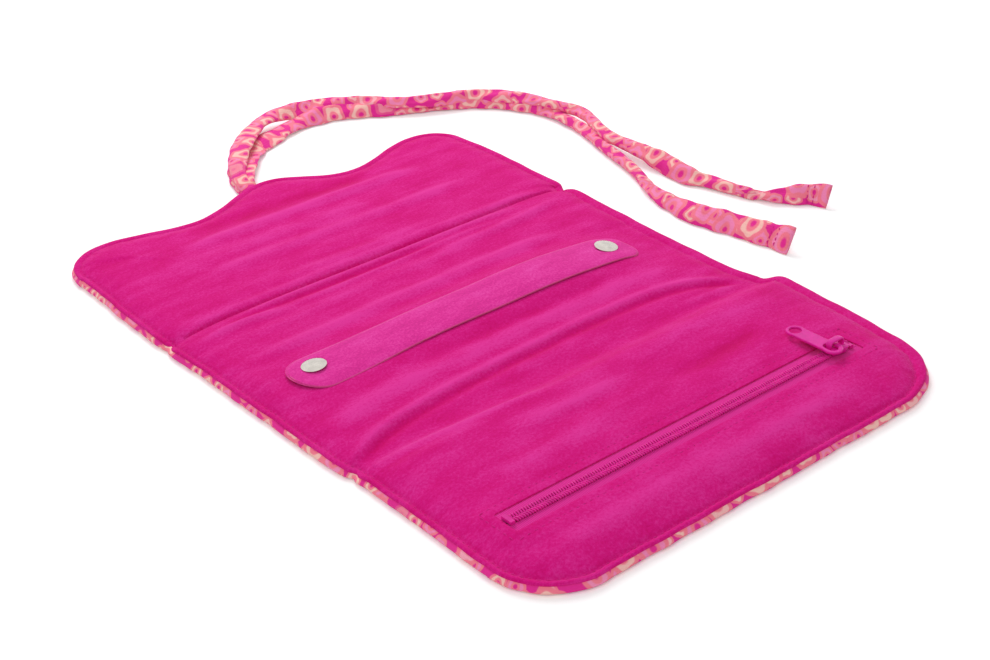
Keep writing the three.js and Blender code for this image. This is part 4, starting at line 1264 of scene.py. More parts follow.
def nylon_finish(settings):
    """Moulded nylon."""
    finish = Finish("zip_nylon", roughness=0.38, specular_ior_level=0.3)
    cloudy = finish.noise(finish.body(), 4 * MM, 3)
    finish.two_tones(cloudy, settings.nylon, 0.8, 0.3, 0.7)
    finish.bump(cloudy, 0.03 * MM, 0.3)
    return finish.material


def enamel_finish(settings):
    """Glossy enamel on cast metal."""
    finish = Finish(
        "zip_enamel", roughness=0.42, coat_weight=0.15, coat_roughness=0.15, specular_ior_level=0.3,
    )
    mottle = finish.noise(finish.body(), 2.5 * MM, 3)
    finish.two_tones(mottle, settings.enamel, 0.86, 0.3, 0.7)
    finish.bump(mottle, 0.05 * MM, 0.25)
    return finish.material


def nickel_finish(settings):
    """Nickel plate with a fine rubbed grain."""
    finish = Finish("nickel", metallic=1.0)
    rub = finish.noise(finish.body((1, 3, 1)), 0.9 * MM, 4, 0.65)
    wear = finish.noise(finish.body(), 4 * MM, 3)
    finish.two_tones(wear, settings.nickel, 0.82, 0.3, 0.65)
    finish.set("Roughness", finish.weigh(0.12, (rub, 0.22)))
    finish.bump(rub, 0.02 * MM, 0.3)
    return finish.material


def fibre_finish(name, colour, size):
    """Loose fibre or plain cotton."""
    finish = Finish(name, roughness=0.95, sheen_weight=0.2)
    fibre = finish.noise(finish.body((1, 2.5, 1)), size, 5, 0.7)
    finish.two_tones(fibre, colour, 0.75, 0.3, 0.65)
    finish.bump(fibre, 0.3 * size, 0.6)
    return finish.material


def dress(node, finish):
    """Gives a node of the frame a finish."""
    mesh = frame["nodes"][node].data
    mesh.materials.clear()
    mesh.materials.append(finish)


def seen_directly(tree):
    """1 for rays from the camera and for those that reflections and glass pass on."""
    path = tree.nodes.new("ShaderNodeLightPath")
    seen = path.outputs["Is Camera Ray"]
    for kind in ("Is Glossy Ray", "Is Transmission Ray"):
        either = tree.nodes.new("ShaderNodeMath")
        either.operation = "MAXIMUM"
        tree.links.new(seen, either.inputs[0])
        tree.links.new(path.outputs[kind], either.inputs[1])
        seen = either.outputs["Value"]
    return seen


def look_down(place, away):
    """Matrix of a lamp at a place whose back points away from the pouch."""
    side = unit(np.cross([0, 1, 0], away))
    lift = np.cross(away, side)
    return Matrix((
        (side[0], lift[0], away[0], place[0]),
        (side[1], lift[1], away[1], place[1]),
        (side[2], lift[2], away[2], place[2]),
        (0, 0, 0, 1),
    ))


# Operators

class POUCH_OT_stage(bpy.types.Operator):
    """Make the floor, the light and the camera"""
    bl_idname = "pouch.stage"
    bl_label = "Stage"

    def execute(self, context):
        settings = context.scene.pouch_stage
        self.add_camera(context.scene, settings)
        self.add_floor(settings)
        self.add_light(context.scene, settings)
        context.scene.view_settings.view_transform = "Standard"
        return {"FINISHED"}

    def add_camera(self, scene, settings):
        """Camera of the photograph."""
        data = bpy.data.cameras.new("photo_camera")
        data.sensor_fit = "HORIZONTAL"
        data.sensor_width = 36
        data.lens = settings.lens
        data.clip_start = 0.01
        camera = bpy.data.objects.new("photo_camera", data)
        turn = Matrix.Rotation(settings.azimuth, 4, "Z")
        tilt = Matrix.Rotation(math.pi / 2 - settings.elevation, 4, "X")
        roll = Matrix.Rotation(settings.roll, 4, "Z")
        camera.matrix_world = Matrix.Translation(settings.camera_place) @ turn @ tilt @ roll
        scene.collection.objects.link(camera)
        scene.camera = camera

    def add_floor(self, settings):
        """Pale floor that turns to plain white far from the pouch."""
        signs = ((-1, -1), (1, -1), (1, 1), (-1, 1))
        corners = [(x * FLOOR_HALF, y * FLOOR_HALF, -FLOOR_DROP) for x, y in signs]
        finish = Finish("pale_floor", roughness=0.9, specular_ior_level=0.1)
        finish.set("Base Color", settings.floor)
        finish.set("Emission Color", (1.0, 1.0, 1.0))
        away = finish.add("ShaderNodeVectorMath", operation="LENGTH")
        finish.feed(away.inputs[0], finish.body())
        far = finish.rise(away.outputs["Value"], *FLOOR_FAR)
        glow = finish.weigh(settings.glow, (far, 1 - settings.glow))
        seen = seen_directly(finish.tree)
        finish.set("Emission Strength", finish.math("MULTIPLY", seen, glow))
        make_piece("floor", corners, [(0, 1, 2, 3)], finish.material, flat=True)

    def add_light(self, scene, settings):
        """White room, which lights the pouch less than it shows, and the lamps."""
        world = bpy.data.worlds.new("soft_room")
        world.use_nodes = True
        tree = world.node_tree
        background = tree.nodes["Background"]
        strength = tree.nodes.new("ShaderNodeMix")
        strength.inputs["A"].default_value = settings.fill
        strength.inputs["B"].default_value = 1.0
        tree.links.new(seen_directly(tree), strength.inputs["Factor"])
        tree.links.new(strength.outputs["Result"], background.inputs["Strength"])
        background.inputs["Color"].default_value = (1, 1, 1, 1)
        scene.world = world
        for name, place, size, share in LAMPS:
            data = bpy.data.lights.new(name, "AREA")
            data.shape = "DISK"
            data.size = size
            data.energy = share * settings.key
            lamp = bpy.data.objects.new(name, data)
            lamp.matrix_world = look_down(place, unit(np.array(place)))
            lamp.visible_glossy = False
            scene.collection.objects.link(lamp)


class POUCH_OT_ties(bpy.types.Operator):
    """Make the two printed ties and the stitches of their hems"""
    bl_idname = "pouch.ties"
    bl_label = "Ties"

    def execute(self, context):
        settings = context.scene.pouch_tie
        cloth = context.scene.pouch_cloth
        print_cloth = print_finish(cloth, "printed_tie_cotton", 2.5)
        thread = thread_finish(cloth)
        ties = [
            ("lower", LOWER_TIE_ROUTE, LOWER_TIE_SHAPE, LOWER_TIE_TURN),
            ("upper", UPPER_TIE_ROUTE, UPPER_TIE_SHAPE, UPPER_TIE_TURN),
        ]
        for name, route, shape, turn in ties:
            self.make(name, route, shape, turn, settings, print_cloth, thread)
        return {"FINISHED"}

    def make(self, name, route, shape, turn, settings, print_cloth, thread):
        """One tie, laid along its route."""
        path = smooth_route(np.array(route) * MM, TIE_STEP)
        path[:, 2] += 0.5 * np.maximum(path[:, 2] - TIE_ON_TABLE, 0)
        share = np.linspace(0, 1, len(path))
        along = share * np.sum(np.linalg.norm(np.diff(path, axis=0), axis=1))
        drift = TIE_DRIFTS[name]
        twist, half_width, half_thick = self.girth(share, along, shape, turn, drift, settings)
        tuck = smoothstep((share - TIE_TUCK_START) / TIE_TUCK_REACH)
        half_thick = half_thick * (0.35 + 0.65 * tuck)
        stand = np.hypot(half_width * np.sin(twist), half_thick * np.cos(twist))
        lift = np.maximum(path[:, 2], stand + TIE_CLEARANCE) - path[:, 2]
        path[:, :2] += (lift * tuck)[:, None] * TIE_SETTLE + tuck[:, None] * TIE_SHIFT
        path[:, 2] += lift * (0.3 + 0.7 * tuck)
        rings = self.rings(path, twist, half_width, half_thick, along + 40 * drift * MM)
        points, faces = loft(rings, capped=True)
        around = np.linspace(0, 2 * settings.width, rings.shape[1], endpoint=False)
        uv = np.stack(np.meshgrid(around, along + drift), axis=-1).reshape(-1, 2)
        piece = make_piece(f"printed_tie_{name}", points, faces, print_cloth, uv)
        stitches = self.hem(name, path, twist, half_width, half_thick, along, settings, thread)
        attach(piece, "flap")
        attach(stitches, "flap")
        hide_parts(f"tie_{name}")

    def girth(self, share, along, shape, turn, drift, settings):
        """Twist, half width and half thickness at each point of a tie."""
        shape = smooth_route(shape, 0.01)
        width_left = np.interp(share, shape[:, 0], shape[:, 1])
        lean = np.interp(share, shape[:, 0], shape[:, 2])
        sway = sum(
            height * np.sin(along / wave + phase * drift) for height, wave, phase in TIE_SWAYS
        )
        turned_over = math.pi * smoothstep((share - turn + TIE_TURN_BEFORE) / TIE_TURN_REACH)
        twist = lean + sway * smoothstep(share / 0.05) + turned_over
        uneven = sum(np.sin(along / wave + phase * drift) for wave, phase in TIE_WAVES)
        hem = smoothstep((share - TIE_HEM_START) / TIE_HEM_REACH)
        half_width = settings.width / 2 * width_left * (0.95 + 0.03 * uneven) * (1 + 0.06 * hem)
        half_thick = settings.thickness / 2 * (1 + 0.9 * (1 - width_left)) * (1 - 0.45 * hem)
        return twist, half_width, half_thick

    def rings(self, path, twist, half_width, half_thick, along):
        """Rings of a flat, creased tube, none of which reaches below the table."""
        across, out = leaning_axes(unit(np.gradient(path, axis=0)), twist)
        angles = np.linspace(0, 2 * math.pi, TIE_SIDES, endpoint=False)
        flat = np.sign(np.cos(angles)) * np.abs(np.cos(angles)) ** 0.8
        crease = 0.28 * np.sin(3 * flat + along[:, None] / TIE_CREASE_WAVE) * (1 - flat ** 2)
        wide = half_width[:, None] * flat
        thick = half_thick[:, None] * (np.sin(angles) + crease)
        rings = path[:, None] + wide[..., None] * across[:, None] + thick[..., None] * out[:, None]
        rings[:, :, 2] = np.maximum(rings[:, :, 2], TIE_LOWEST)
        return rings

    def hem(self, name, path, twist, half_width, half_thick, along, settings, thread):
        """Two rows of stitches across the end of a tie."""
        parts = []
        for row in (settings.hem, settings.hem + HEM_ROW_GAP):
            i = int(np.argmin(np.abs(along - (along[-1] - row))))
            across, out = leaning_axes(unit(path[i + 1] - path[i]), twist[i])
            reach = 0.92 * half_width[i]
            line = path[i] + np.linspace(-reach, reach, 40)[:, None] * across
            for face in (-1, 1):
                outside = line + face * 0.85 * half_thick[i] * out
                parts.append(stitch_row(outside, HEM_STITCH, STITCH_GAP, HEM_THREAD, face * out))
        points, faces = gather(parts)
        return make_piece(f"tie_hem_stitches_{name}", points, faces, thread)


class POUCH_OT_lining(bpy.types.Operator):
    """Make the padded velvet lining in two halves, which meet under the strap"""
    bl_idname = "pouch.lining"
    bl_label = "Velvet lining"

    def execute(self, context):
        settings = context.scene.pouch_cloth
        plan, triangles, edge_count = plan_mesh(LINING_RINGS, settings.mesh_spacing, window=True)
        # crest: ridge height, which the velvet paints as highlight on the crests and shade in the
        # hollows
        height, crest = lining_height(plan, settings)
        inset, nearest = edge_distance(plan)
        pull = LIP_PULL * on_near_side()[nearest] ** 2
        pull *= 1 - smoothstep(inset / LIP_PULL_REACH)
        points = np.column_stack([plan + pull[:, None] * OUTLINE_IN[nearest], height])
        faces = [tuple(face) for face in triangles]
        points, faces, uv, crest = self.turn_under(points, faces, plan, crest, edge_count)
        points, faces, uv, crest = self.turn_window(points, faces, uv, crest, settings)
        finish = velvet_finish(settings)
        nodes = {"flap": ("flap_lining", "middle_lining"), "pocket": ("pocket_lining",)}
        for half in HALVES:
            piece = cloth_half(f"velvet_lining_{half}_side", points, faces, half, finish, uv, crest)
            fold_with(piece)
            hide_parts(*nodes[half])
        return {"FINISHED"}

    def turn_under(self, points, faces, plan, crest, edge_count):
        """Adds the lip's outer side, turned in under the edge."""
        rim = points[:edge_count]
        rings = [rim]
        for inset, drop in LIP_TURN:
            ring = rim.copy()
            ring[:, :2] += inset * MM * OUTLINE_IN
            ring[:, 2] -= drop * MM
            rings.append(ring)
        skirt, skirt_faces = loft(rings[::-1])
        count = len(points)
        base = len(rings) - 1
        remap = np.concatenate([np.arange(base * edge_count) + count, np.arange(edge_count)])
        faces = faces + [tuple(remap[list(face)]) for face in skirt_faces]
        uv = [plan]
        for number in range(base):
            uv.append(plan[:edge_count] - (base - number) * LIP_TURN_STEP * MM * OUTLINE_IN)
        points = np.vstack([points, skirt[:base * edge_count]])
        crest = np.concatenate([crest, np.zeros(base * edge_count)])
        return points, faces, np.vstack(uv), crest

    def turn_window(self, points, faces, uv, crest, settings):
        """Adds the turned edge of the cloth round the zip window."""
        loop = window_loop(settings.mesh_spacing)
        top = lining_height(loop, settings)[0]
        middle = np.clip(loop[:, 0], WINDOW_LEFT + WINDOW_END, WINDOW_RIGHT - WINDOW_END)
        inward_way = unit(np.column_stack([middle, np.full(len(loop), ZIP_Y)]) - loop)
        rings = []
        for reach, drop in WINDOW_TURN:
            ring = np.column_stack([loop + reach * MM * inward_way, top - drop * MM])
            rings.append(ring)
        skirt, skirt_faces = loft(rings)
        count = len(points)
        faces = faces + [tuple(count + index for index in face[::-1]) for face in skirt_faces]
        points = np.vstack([points, skirt])
        uv = np.vstack([uv, skirt[:, :2]])
        return points, faces, uv, np.concatenate([crest, np.zeros(len(skirt))])


class POUCH_OT_outer_cloth(bpy.types.Operator):
    """Make the printed outer cloth in two halves, which meet under the strap"""
    bl_idname = "pouch.outer_cloth"
    bl_label = "Printed outer cloth"

    def execute(self, context):
        settings = context.scene.pouch_cloth
        roll, lift = np.array(OUTER_RIM) * MM
        plan, triangles, edge_count = plan_mesh(np.array([roll, OUTER_RING]), OUTER_SPACING)
        sag = np.abs(ripples(plan, OUTER_SEED)) * OUTER_SAG
        inset = edge_distance(plan)[0]
        height = lift + sag * smoothstep((inset - roll) / OUTER_SAG_REACH)
        points = np.column_stack([plan, height])
        faces = [tuple(face[::-1]) for face in triangles]
        points, faces, uv = self.sides(points, faces, plan, edge_count)
        finish = print_finish(settings, "printed_cotton")
        nodes = {"flap": ("flap_outer", "middle_outer"), "pocket": ("pocket_outer",)}
        for half in HALVES:
            piece = cloth_half(f"printed_cloth_{half}_side", points, faces, half, finish, uv)
            fold_with(piece)
            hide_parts(*nodes[half])
        return {"FINISHED"}

    def sides(self, points, faces, plan, edge_count):
        """Adds the sides, which rise from the rolled lower edge to the lip of the lining."""
        top = lip_shape(bpy.context.scene.pouch_cloth)[0] - SIDE_BELOW_LIP
        tall = top / SIDE_DRAWN * (1 - SIDE_NIP * fold_nearness(OUTLINE, SIDE_NIP_REACH))
        turn = np.arange(edge_count) * OUTLINE_SPACING
        short, long, middling = (np.sin(turn / wave) for wave in SIDE_WAVES)
        pucker = short * long + 0.5 * middling
        rings = [points[:edge_count]]
        uv = [plan]
        walked = 0.0
        last = OUTER_RIM
        for inset, rise in SIDE_PROFILE:
            puff = SIDE_PUCKER * pucker * math.sin(math.pi * rise / SIDE_TOP)
            pull = max(rise - SIDE_PULL_START, 0)
            puff = puff + LIP_PULL * on_near_side() ** 2 * pull / SIDE_PULL_REACH
            plan_ring = OUTLINE + (inset * MM + puff)[:, None] * OUTLINE_IN
            walked += math.hypot(inset - last[0], rise - last[1])
            last = (inset, rise)
            rings.append(np.column_stack([plan_ring, rise * MM * tall]))
            uv.append(plan[:edge_count] - walked * MM * OUTLINE_IN)
        sides, side_faces = loft(rings)
        count = len(points)
        remap = np.concatenate([np.arange(edge_count), count + np.arange(len(sides) - edge_count)])
        faces = faces + [tuple(remap[list(face)]) for face in side_faces]
        return np.vstack([points, sides[edge_count:]]), faces, np.vstack(uv)


class POUCH_OT_stitching(bpy.types.Operator):
    """Make the topstitching round the edge, along the flap's fold and round the zip window"""
    bl_idname = "pouch.stitching"
    bl_label = "Topstitching"

    def execute(self, context):
        settings = context.scene.pouch_cloth
        thread = thread_finish(settings)
        seam = lip_shape(settings)[1]
        ring = OUTLINE + seam[:, None] * OUTLINE_IN
        ring = ring[edge_distance(ring)[0] > seam - SEAM_SLACK]
        fold_end = HALF_WIDTH - settings.seam_inset
        fold_x = np.linspace(-fold_end, fold_end, 240)
        fold_line = np.column_stack([fold_x, np.full_like(fold_x, FLAP_FOLD_Y)])
        fold_line = fold_line[edge_distance(fold_line)[0] > settings.seam_inset]
        nodes = {
            "flap": ("flap_edge_stitching", "middle_edge_stitching"),
            "pocket": ("pocket_edge_stitching",),
        }
        for half in HALVES:
            mask = in_half(ring[:, 1], half)
            first = int(np.argmax(mask & ~np.roll(mask, 1)))
            line = np.roll(ring, -first, axis=0)[:int(mask.sum())]
            lines = [line, fold_line] if half == "flap" else [line]
            piece = self.sew(f"edge_stitches_{half}_side", lines, settings, thread)
            fold_with(piece)
            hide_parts(*nodes[half])
        loop = window_loop(WINDOW_STITCH_SPACING, WINDOW_STITCH_MARGIN)
        piece = self.sew("zip_window_stitches", [np.vstack([loop, loop[:1]])], settings, thread)
        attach(piece, "pocket_panel")
        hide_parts("zip_window_stitching")
        return {"FINISHED"}

    def sew(self, name, lines, settings, thread):
        """Stitches along lines on the lining."""
        parts = []
        for line in lines:
            places = np.column_stack([line, lining_height(line, settings)[0] + STITCH_LIFT])
            parts.append(stitch_row(places, settings.stitch_length, STITCH_GAP, STITCH_THREAD))
        points, faces = gather(parts)
        return make_piece(name, points, faces, thread)


class POUCH_OT_strap(bpy.types.Operator):
    """Make the two layers of the ring strap, which arch up from the left snap"""
    bl_idname = "pouch.strap"
    bl_label = "Ring strap"

    def execute(self, context):
        settings = context.scene.pouch_strap
        finish = suede_finish(settings)
        top_z = STRAP_BACKING_Z + 1.05 * settings.layer
        layers = [("backing", STRAP_BACKING_Z, 0.0), ("top", top_z, STRAP_TOP_TRIM)]
        for name, height, trim in layers:
            piece = self.layer(f"strap_{name}_layer", height, trim, settings, finish)
            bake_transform(piece)
            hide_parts(f"strap_anchor_{name}", f"ring_strap_{name}")
        return {"FINISHED"}

    def layer(self, name, height, trim, settings, finish):
        """One layer, arched between the snaps, with a round left end and rounded right corners."""
        left, right = STRAP_LEFT + trim, STRAP_RIGHT + STRAP_LONGER - trim
        half = STRAP_HALF_WIDTH + STRAP_WIDER - trim
        stations = left + (right - left) * (1 - np.cos(np.linspace(0, math.pi, 150))) / 2
        left_in = np.clip(1 - (stations - left) / half, 0, 1)
        left_round = half * np.sqrt(np.clip(1 - left_in ** 2, 0, 1))
        right_in = np.clip(1 - (right - stations) / STRAP_CORNER, 0, 1)
        right_round = half - STRAP_CORNER * (1 - np.sqrt(np.clip(1 - right_in ** 2, 0, 1)))
        reach = np.maximum(np.minimum(left_round, right_round), STRAP_TIP_HALF)
        across = np.sin(np.linspace(-math.pi / 2, math.pi / 2, 21))
        x = np.repeat(stations[:, None], len(across), axis=1)
        offset = reach[:, None] * across[None, :] - 0.9 * trim
        flare = 1 - smoothstep((x - SNAPS["left"]) / STRAP_FLARE_REACH)
        offset -= STRAP_FLARE * flare * np.maximum(-across, 0) * reach[:, None] / half
        lift = height + strap_bow(x) - STRAP_CURL * np.abs(offset / half) ** 3
        lift += STRAP_WAVE * np.sin(x / STRAP_WAVE_REACH) * offset / half
        for snap_x in SNAPS.values():
            lift -= STRAP_PRESS * hump(np.hypot(x - snap_x, offset), STRAP_PRESS_REACH, 4)
        edge = np.sqrt(np.clip(1 - np.abs(across) ** 12, 0, 1))[None, :]
        y = strap_line(x) + offset
        top = np.stack([x, y, lift + settings.layer * (0.1 + 0.9 * edge)], axis=-1)
        under = np.stack([x, y, lift + settings.layer * (0.1 - 0.1 * edge)], axis=-1)
        points, faces = loft(np.concatenate([top, under[:, ::-1][:, 1:-1]], axis=1), capped=True)
        piece = make_piece(name, points, [face[::-1] for face in faces], finish, points[:, :2])
        rim = np.concatenate([np.abs(across), np.abs(across)[::-1][1:-1]])
        ends = np.minimum(stations - left, right - stations)
        at_sides = smoothstep((rim - 0.97) / 0.03)[None, :]
        at_ends = 1 - smoothstep(ends / STRAP_CUT)[:, None]
        add_attribute(piece, "rim", np.maximum(at_sides, at_ends).ravel())
        return piece


class POUCH_OT_snaps(bpy.types.Operator):
    """Make the domed snap caps and finish the parts of the snaps below them"""
    bl_idname = "pouch.snaps"
    bl_label = "Snaps"

    def execute(self, context):
        settings = context.scene.pouch_strap
        finish = nickel_finish(settings)
        for side, body in (("left", "middle_panel"), ("right", "ring_strap")):
            piece = self.cap(side, STRAP_BACKING_Z + 1.75 * settings.layer, finish)
            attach(piece, body)
            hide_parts(f"{side}_snap_cap")
            for name in ("socket", "stud", "post"):
                dress(f"{side}_snap_{name}", finish)
        return {"FINISHED"}

    def cap(self, side, seat, finish):
        """A domed cap with a rolled rim and a shank, tilted with the strap."""
        low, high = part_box(f"{side}_snap_cap")
        radius = CAP_RADIUS_SHARE * (high[0] - low[0])
        dome = np.linspace(0.88, 0.02, 12)
        profile = [(CAP_SHANK, low[2] - seat), (CAP_SHANK, 0)]
        profile += [(share * radius, rise * MM) for share, rise in CAP_RIM]
        profile += [(share * radius, CAP_TOP - CAP_FALL * share ** 2.4) for share in dome]
        points, faces = turned(profile)
        tilt = np.array(Matrix.Rotation(CAP_TILTS[side], 3, CAP_TILT_AXIS))
        x, shift = SNAPS[side], CAP_SHIFTS[side]
        place = shift + (x, strap_line(x), seat + strap_bow(x + shift[0]))
        return make_piece(f"{side}_snap_dome", points @ tilt.T + place, faces, finish)


class POUCH_OT_zip(bpy.types.Operator):
    """Make the zip's coil and tapes, and finish its stops"""
    bl_idname = "pouch.zip"
    bl_label = "Zip"

    def execute(self, context):
        settings = context.scene.pouch_zip
        tape = tape_finish(settings)
        nylon = nylon_finish(settings)
        for place, side in (("upper", 1), ("lower", -1)):
            coil = self.coil(place, side, settings, nylon)
            strip = self.tape(place, side, tape)
            pieces = [
                (coil, f"zip_coil_{place}", "zip_nylon"),
                (strip, f"zip_tape_{place}", "zip_tape"),
            ]
            for piece, node, slot in pieces:
                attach(piece, "pocket_panel")
                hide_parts(node)
                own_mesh(piece)
            dress(f"zip_top_stop_{place}", nylon)
        dress("zip_bottom_stop", nylon)
        return {"FINISHED"}

    def coil(self, place, side, settings, finish):
        """Half of the coil: a flattened helix whose heads reach between the other half's."""
        low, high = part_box(f"zip_coil_{place}")
        wire = settings.wire / 2
        turns = int((high[0] - low[0] - 2 * wire) / settings.coil_pitch)
        angles = np.linspace(0, 2 * math.pi * turns, 14 * turns + 1)
        shift = 0.0 if side > 0 else settings.coil_pitch / 2
        outer = max(abs(low[1] - ZIP_Y), abs(high[1] - ZIP_Y)) - wire
        inner = -COIL_OVERLAP
        middle = (outer + inner) / 2
        x = low[0] + wire + shift * 0.5 + settings.coil_pitch * angles / (2 * math.pi)
        y = ZIP_Y + side * (middle - (outer - middle) * np.cos(angles))
        z = TAPE_TOP + COIL_HALF_HEIGHT * (1 + np.sin(angles)) - COIL_LEAN * np.cos(angles)
        points, faces = tube(np.column_stack([x, y, z]), wire, 6)
        return make_piece(f"zip_coil_half_{place}", points, faces, finish)

    def tape(self, place, side, finish):
        """Woven strip with a thicker bead along its inner edge."""
        low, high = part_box(f"zip_tape_{place}")
        inner = ZIP_Y + side * TAPE_GAP
        outer = ZIP_Y + side * (WINDOW_HALF + TAPE_HIDDEN)
        stations = np.linspace(WINDOW_LEFT - TAPE_HIDDEN, WINDOW_RIGHT + TAPE_HIDDEN, 120)
        rings = []
        for x in stations:
            ring = [
                (x, inner + share * (outer - inner), low[2] + rise * (high[2] - low[2]))
                for share, rise in TAPE_SECTION
            ]
            rings.append(ring if side > 0 else ring[::-1])
        points, faces = loft(rings, capped=True)
        return make_piece(f"zip_tape_strip_{place}", points, faces, finish)


class POUCH_OT_zip_slider(bpy.types.Operator):
    """Make the enamelled slider and its pull tab"""
    bl_idname = "pouch.zip_slider"
    bl_label = "Zip slider"

    def execute(self, context):
        finish = enamel_finish(context.scene.pouch_zip)
        slider = self.slider(finish)
        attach(slider, "zip_slider")
        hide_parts("zip_slider_body")
        tab = self.tab(finish)
        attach(tab, "pull_tab")
        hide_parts("zip_pull_tab")
        return {"FINISHED"}

    def slider(self, finish):
        """Two plates joined by a wedge and walls, with a bridge on top."""
        low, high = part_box("zip_slider_body")
        length = high[0] - low[0]
        half = (high[1] - low[1]) / 2
        place = np.array([middle_of("zip_slider_body")[0], ZIP_Y])
        outline = np.array(SLIDER_OUTLINE) * [length, half]
        plan = resample(outline, CAST_SPACING, closed=True) + place
        roof = COIL_TOP + SLIDER_ROOF
        parts = [
            rounded_slab(plan, COIL_TOP + SLIDER_CLEARANCE, roof, CAST_RIM),
            rounded_slab(plan, low[2], low[2] + SLIDER_FLOOR, FLOOR_RIM),
        ]
        for side in (-1, 1):
            wall = np.array(SLIDER_WALL) * [length, side * half] + place
            wall = resample(wall if side < 0 else wall[::-1], FINE_SPACING, closed=True)
            bottom, top = COIL_BOTTOM + 0.1 * MM, COIL_TOP + 0.5 * MM
            parts.append(rounded_slab(wall[::-1], bottom, top, INNER_RIM))
        wedge = arc(place + [WEDGE_PLACE * length, 0], WEDGE_RADIUS, 0, 345)
        parts.append(rounded_slab(wedge, low[2] + 0.5 * MM, roof - 0.3 * MM, INNER_RIM))
        parts.append(self.bridge(place, TAB_AXIS[0] - place[0], roof, high[2]))
        points, faces = gather(parts)
        return make_piece("zip_slider_cast", points, faces, finish)

    def bridge(self, place, reach, roof, top):
        """Arched band over the slider, one leg of which carries the tab."""
        crown = top - 0.5 * MM
        arch = [
            (1.0, roof - 0.3 * MM), (1.0, roof + 1.4 * MM),
            (0.88, crown - 0.5 * MM), (0.6, crown - 0.1 * MM),
        ]
        arch += [(0, crown)] + [(-x, z) for x, z in reversed(arch)]
        route = smooth_route([(place[0] + x * reach, z) for x, z in arch], CAST_SPACING)
        along = unit(np.gradient(route, axis=0))
        angles = np.linspace(0, 2 * math.pi, 16, endpoint=False)
        cosine, sine = np.cos(angles), np.sin(angles)
        across = BRIDGE_HALF_WIDTH * np.sign(cosine) * np.abs(cosine) ** 0.6
        out = BRIDGE_HALF_THICKNESS * np.sign(sine) * np.abs(sine) ** 0.6
        rings = []
        for (x, z), (run, rise) in zip(route, along):
            rings.append(np.column_stack([x - rise * out, place[1] + across, z + run * out]))
        return loft(rings, capped=True)

    def tab(self, finish):
        """A flat tab with a ring round a leg of the slider's bridge and a holed tip."""
        low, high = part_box("zip_pull_tab")
        end = (high[0] - low[0]) / 2
        tip = high[1] - ZIP_Y - end
        ring, head = TAB_RING_SHARE * end, TAB_HEAD_SHARE * end
        leans = (math.degrees(math.asin(TAB_WAIST / radius)) for radius in (ring, head))
        ring_lean, head_lean = leans
        outline = resample(np.vstack([
            arc((0, -EYE_LENGTH), ring, 90 + ring_lean, 450 - ring_lean),
            arc((0, tip), head, head_lean - 90, 270 - head_lean),
        ]), FINE_SPACING, closed=True)
        eye = np.vstack([
            arc((0, 0), EYE_RADIUS, 0, 180), arc((0, -EYE_LENGTH), EYE_RADIUS, 180, 360),
        ])
        holes = [resample(eye, 0.5 * MM, closed=True), arc((0, tip), TAB_HOLE_RADIUS, 0, 345)]
        points, faces = holed_plate(outline, holes, low[2], high[2], CAST_RIM)
        return make_piece("zip_tab_cast", points + [TAB_AXIS[0], ZIP_Y, 0], faces, finish)


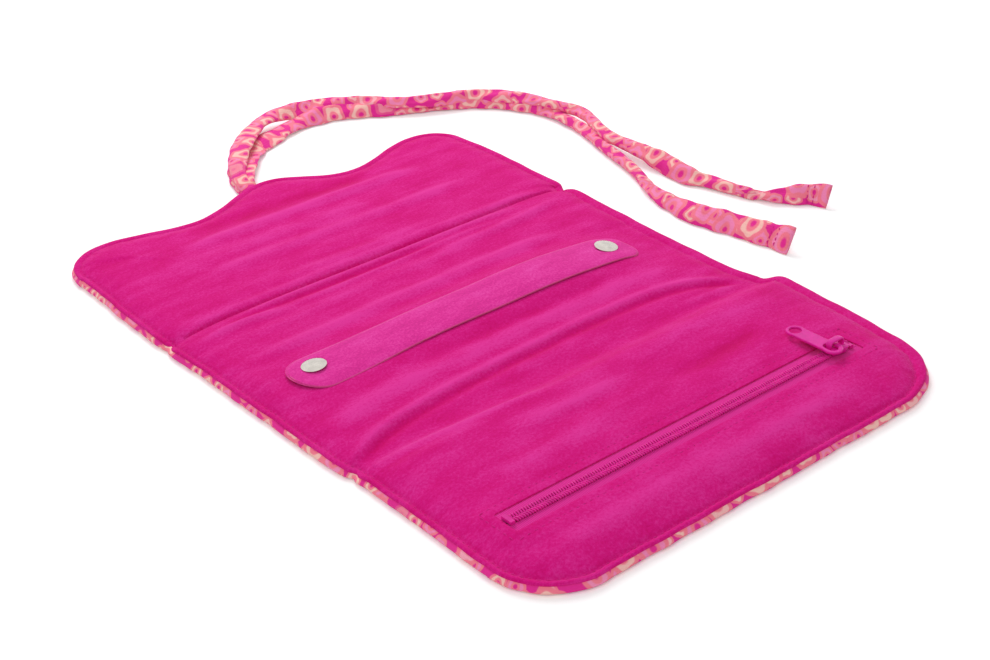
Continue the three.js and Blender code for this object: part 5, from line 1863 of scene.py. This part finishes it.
class POUCH_OT_inside(bpy.types.Operator):
    """Make the wadding and the pocket bag"""
    bl_idname = "pouch.inside"
    bl_label = "Wadding and pocket bag"

    def execute(self, context):
        settings = context.scene.pouch_zip
        wadding = fibre_finish("wadding", settings.wadding, 1.5 * MM)
        panels = {"middle": "middle_panel", "flap": "flap", "pocket": "pocket_panel"}
        for panel, body in panels.items():
            piece = self.pad(panel, wadding)
            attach(piece, body)
            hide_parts(f"{panel}_wadding")
        cotton = fibre_finish("pocket_cotton", settings.pocket, 0.6 * MM)
        bag = self.bag(context.scene.pouch_cloth, cotton)
        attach(bag, "pocket_panel")
        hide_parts("pocket_bag")
        return {"FINISHED"}

    def bag(self, cloth, finish):
        """A front with a slit behind the zip and a back, which meet round their edge."""
        low, high = (np.array(corner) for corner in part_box("pocket_bag"))
        walls = []
        for front in (True, False):
            plan, triangles, _ = plan_mesh(BAG_RINGS, BAG_SPACING, window=front)
            gap = np.minimum(plan - low[:2], high[:2] - plan).min(axis=1)
            faces = triangles[(gap[triangles] > -BAG_MARGIN).all(axis=1)]
            back = np.full(len(plan), low[2] + BAG_LIFT)
            if front:
                top = np.minimum(lining_height(plan, cloth)[0], TAPE_TOP) - BAG_BELOW_LINING
                edge = np.minimum(gap, edge_distance(plan)[0] - BAG_EDGE)
                back += (top - back) * smoothstep(edge / BAG_SLOPE)
            else:
                faces = faces[:, ::-1]
            walls.append((np.column_stack([plan, back]), [tuple(face) for face in faces]))
        points, faces = gather(walls)
        used, places = np.unique(np.array(faces).ravel(), return_inverse=True)
        return make_piece("pocket_bag_cloth", points[used], places.reshape(-1, 3), finish)

    def pad(self, panel, finish):
        """A pad smaller than the frame's wadding, so that the lining can fall away round it."""
        low, high = (np.array(corner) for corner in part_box(f"{panel}_wadding"))
        left, near = low[:2] + PAD_INSET + PAD_CORNER
        right, far = high[:2] - PAD_INSET - PAD_CORNER
        centres = [(right, far), (left, far), (left, near), (right, near)]
        outline = np.vstack([
            arc(centre, PAD_CORNER, 90 * number, 90 * number + 90)
            for number, centre in enumerate(centres)
        ])
        outline = resample(outline, PAD_SPACING, closed=True)
        points, faces = rounded_slab(outline, low[2], high[2], PAD_RIM)
        return make_piece(f"wadding_pad_{panel}", points, faces, finish)


OPERATORS = [
    POUCH_OT_stage, POUCH_OT_ties, POUCH_OT_lining, POUCH_OT_outer_cloth, POUCH_OT_stitching,
    POUCH_OT_strap, POUCH_OT_snaps, POUCH_OT_zip, POUCH_OT_zip_slider, POUCH_OT_inside,
]
SETTINGS = {
    "pouch_cloth": PouchClothSettings,
    "pouch_strap": PouchStrapSettings,
    "pouch_zip": PouchZipSettings,
    "pouch_tie": PouchTieSettings,
    "pouch_stage": PouchStageSettings,
}


class POUCH_PT_sidebar(bpy.types.Panel):
    """Lists the pouch's settings and the buttons that make its pieces"""
    bl_label = "Jewelry Pouch"
    bl_idname = "POUCH_PT_sidebar"
    bl_space_type = "VIEW_3D"
    bl_region_type = "UI"
    bl_category = "Pouch"

    def draw(self, context):
        for name, group in SETTINGS.items():
            box = self.layout.box()
            box.label(text=group.__doc__)
            for setting in group.__annotations__:
                box.prop(getattr(context.scene, name), setting)
        for operator in OPERATORS:
            self.layout.operator(operator.bl_idname)


def register():
    """Adds the settings, the operators and the panel."""
    for group in SETTINGS.values():
        bpy.utils.register_class(group)
    for name, group in SETTINGS.items():
        setattr(bpy.types.Scene, name, PointerProperty(type=group))
    for operator in OPERATORS:
        bpy.utils.register_class(operator)
    bpy.utils.register_class(POUCH_PT_sidebar)


def unregister():
    """Takes away what register adds."""
    bpy.utils.unregister_class(POUCH_PT_sidebar)
    for operator in reversed(OPERATORS):
        bpy.utils.unregister_class(operator)
    for name, group in SETTINGS.items():
        delattr(bpy.types.Scene, name)
        bpy.utils.unregister_class(group)


def main():
    """Makes the whole pouch."""
    register()
    bpy.ops.pouch.stage()
    bpy.ops.pouch.ties()
    bpy.ops.pouch.lining()
    bpy.ops.pouch.outer_cloth()
    bpy.ops.pouch.stitching()
    bpy.ops.pouch.strap()
    bpy.ops.pouch.snaps()
    bpy.ops.pouch.zip()
    bpy.ops.pouch.zip_slider()
    bpy.ops.pouch.inside()


if __name__ == "__main__":
    main()
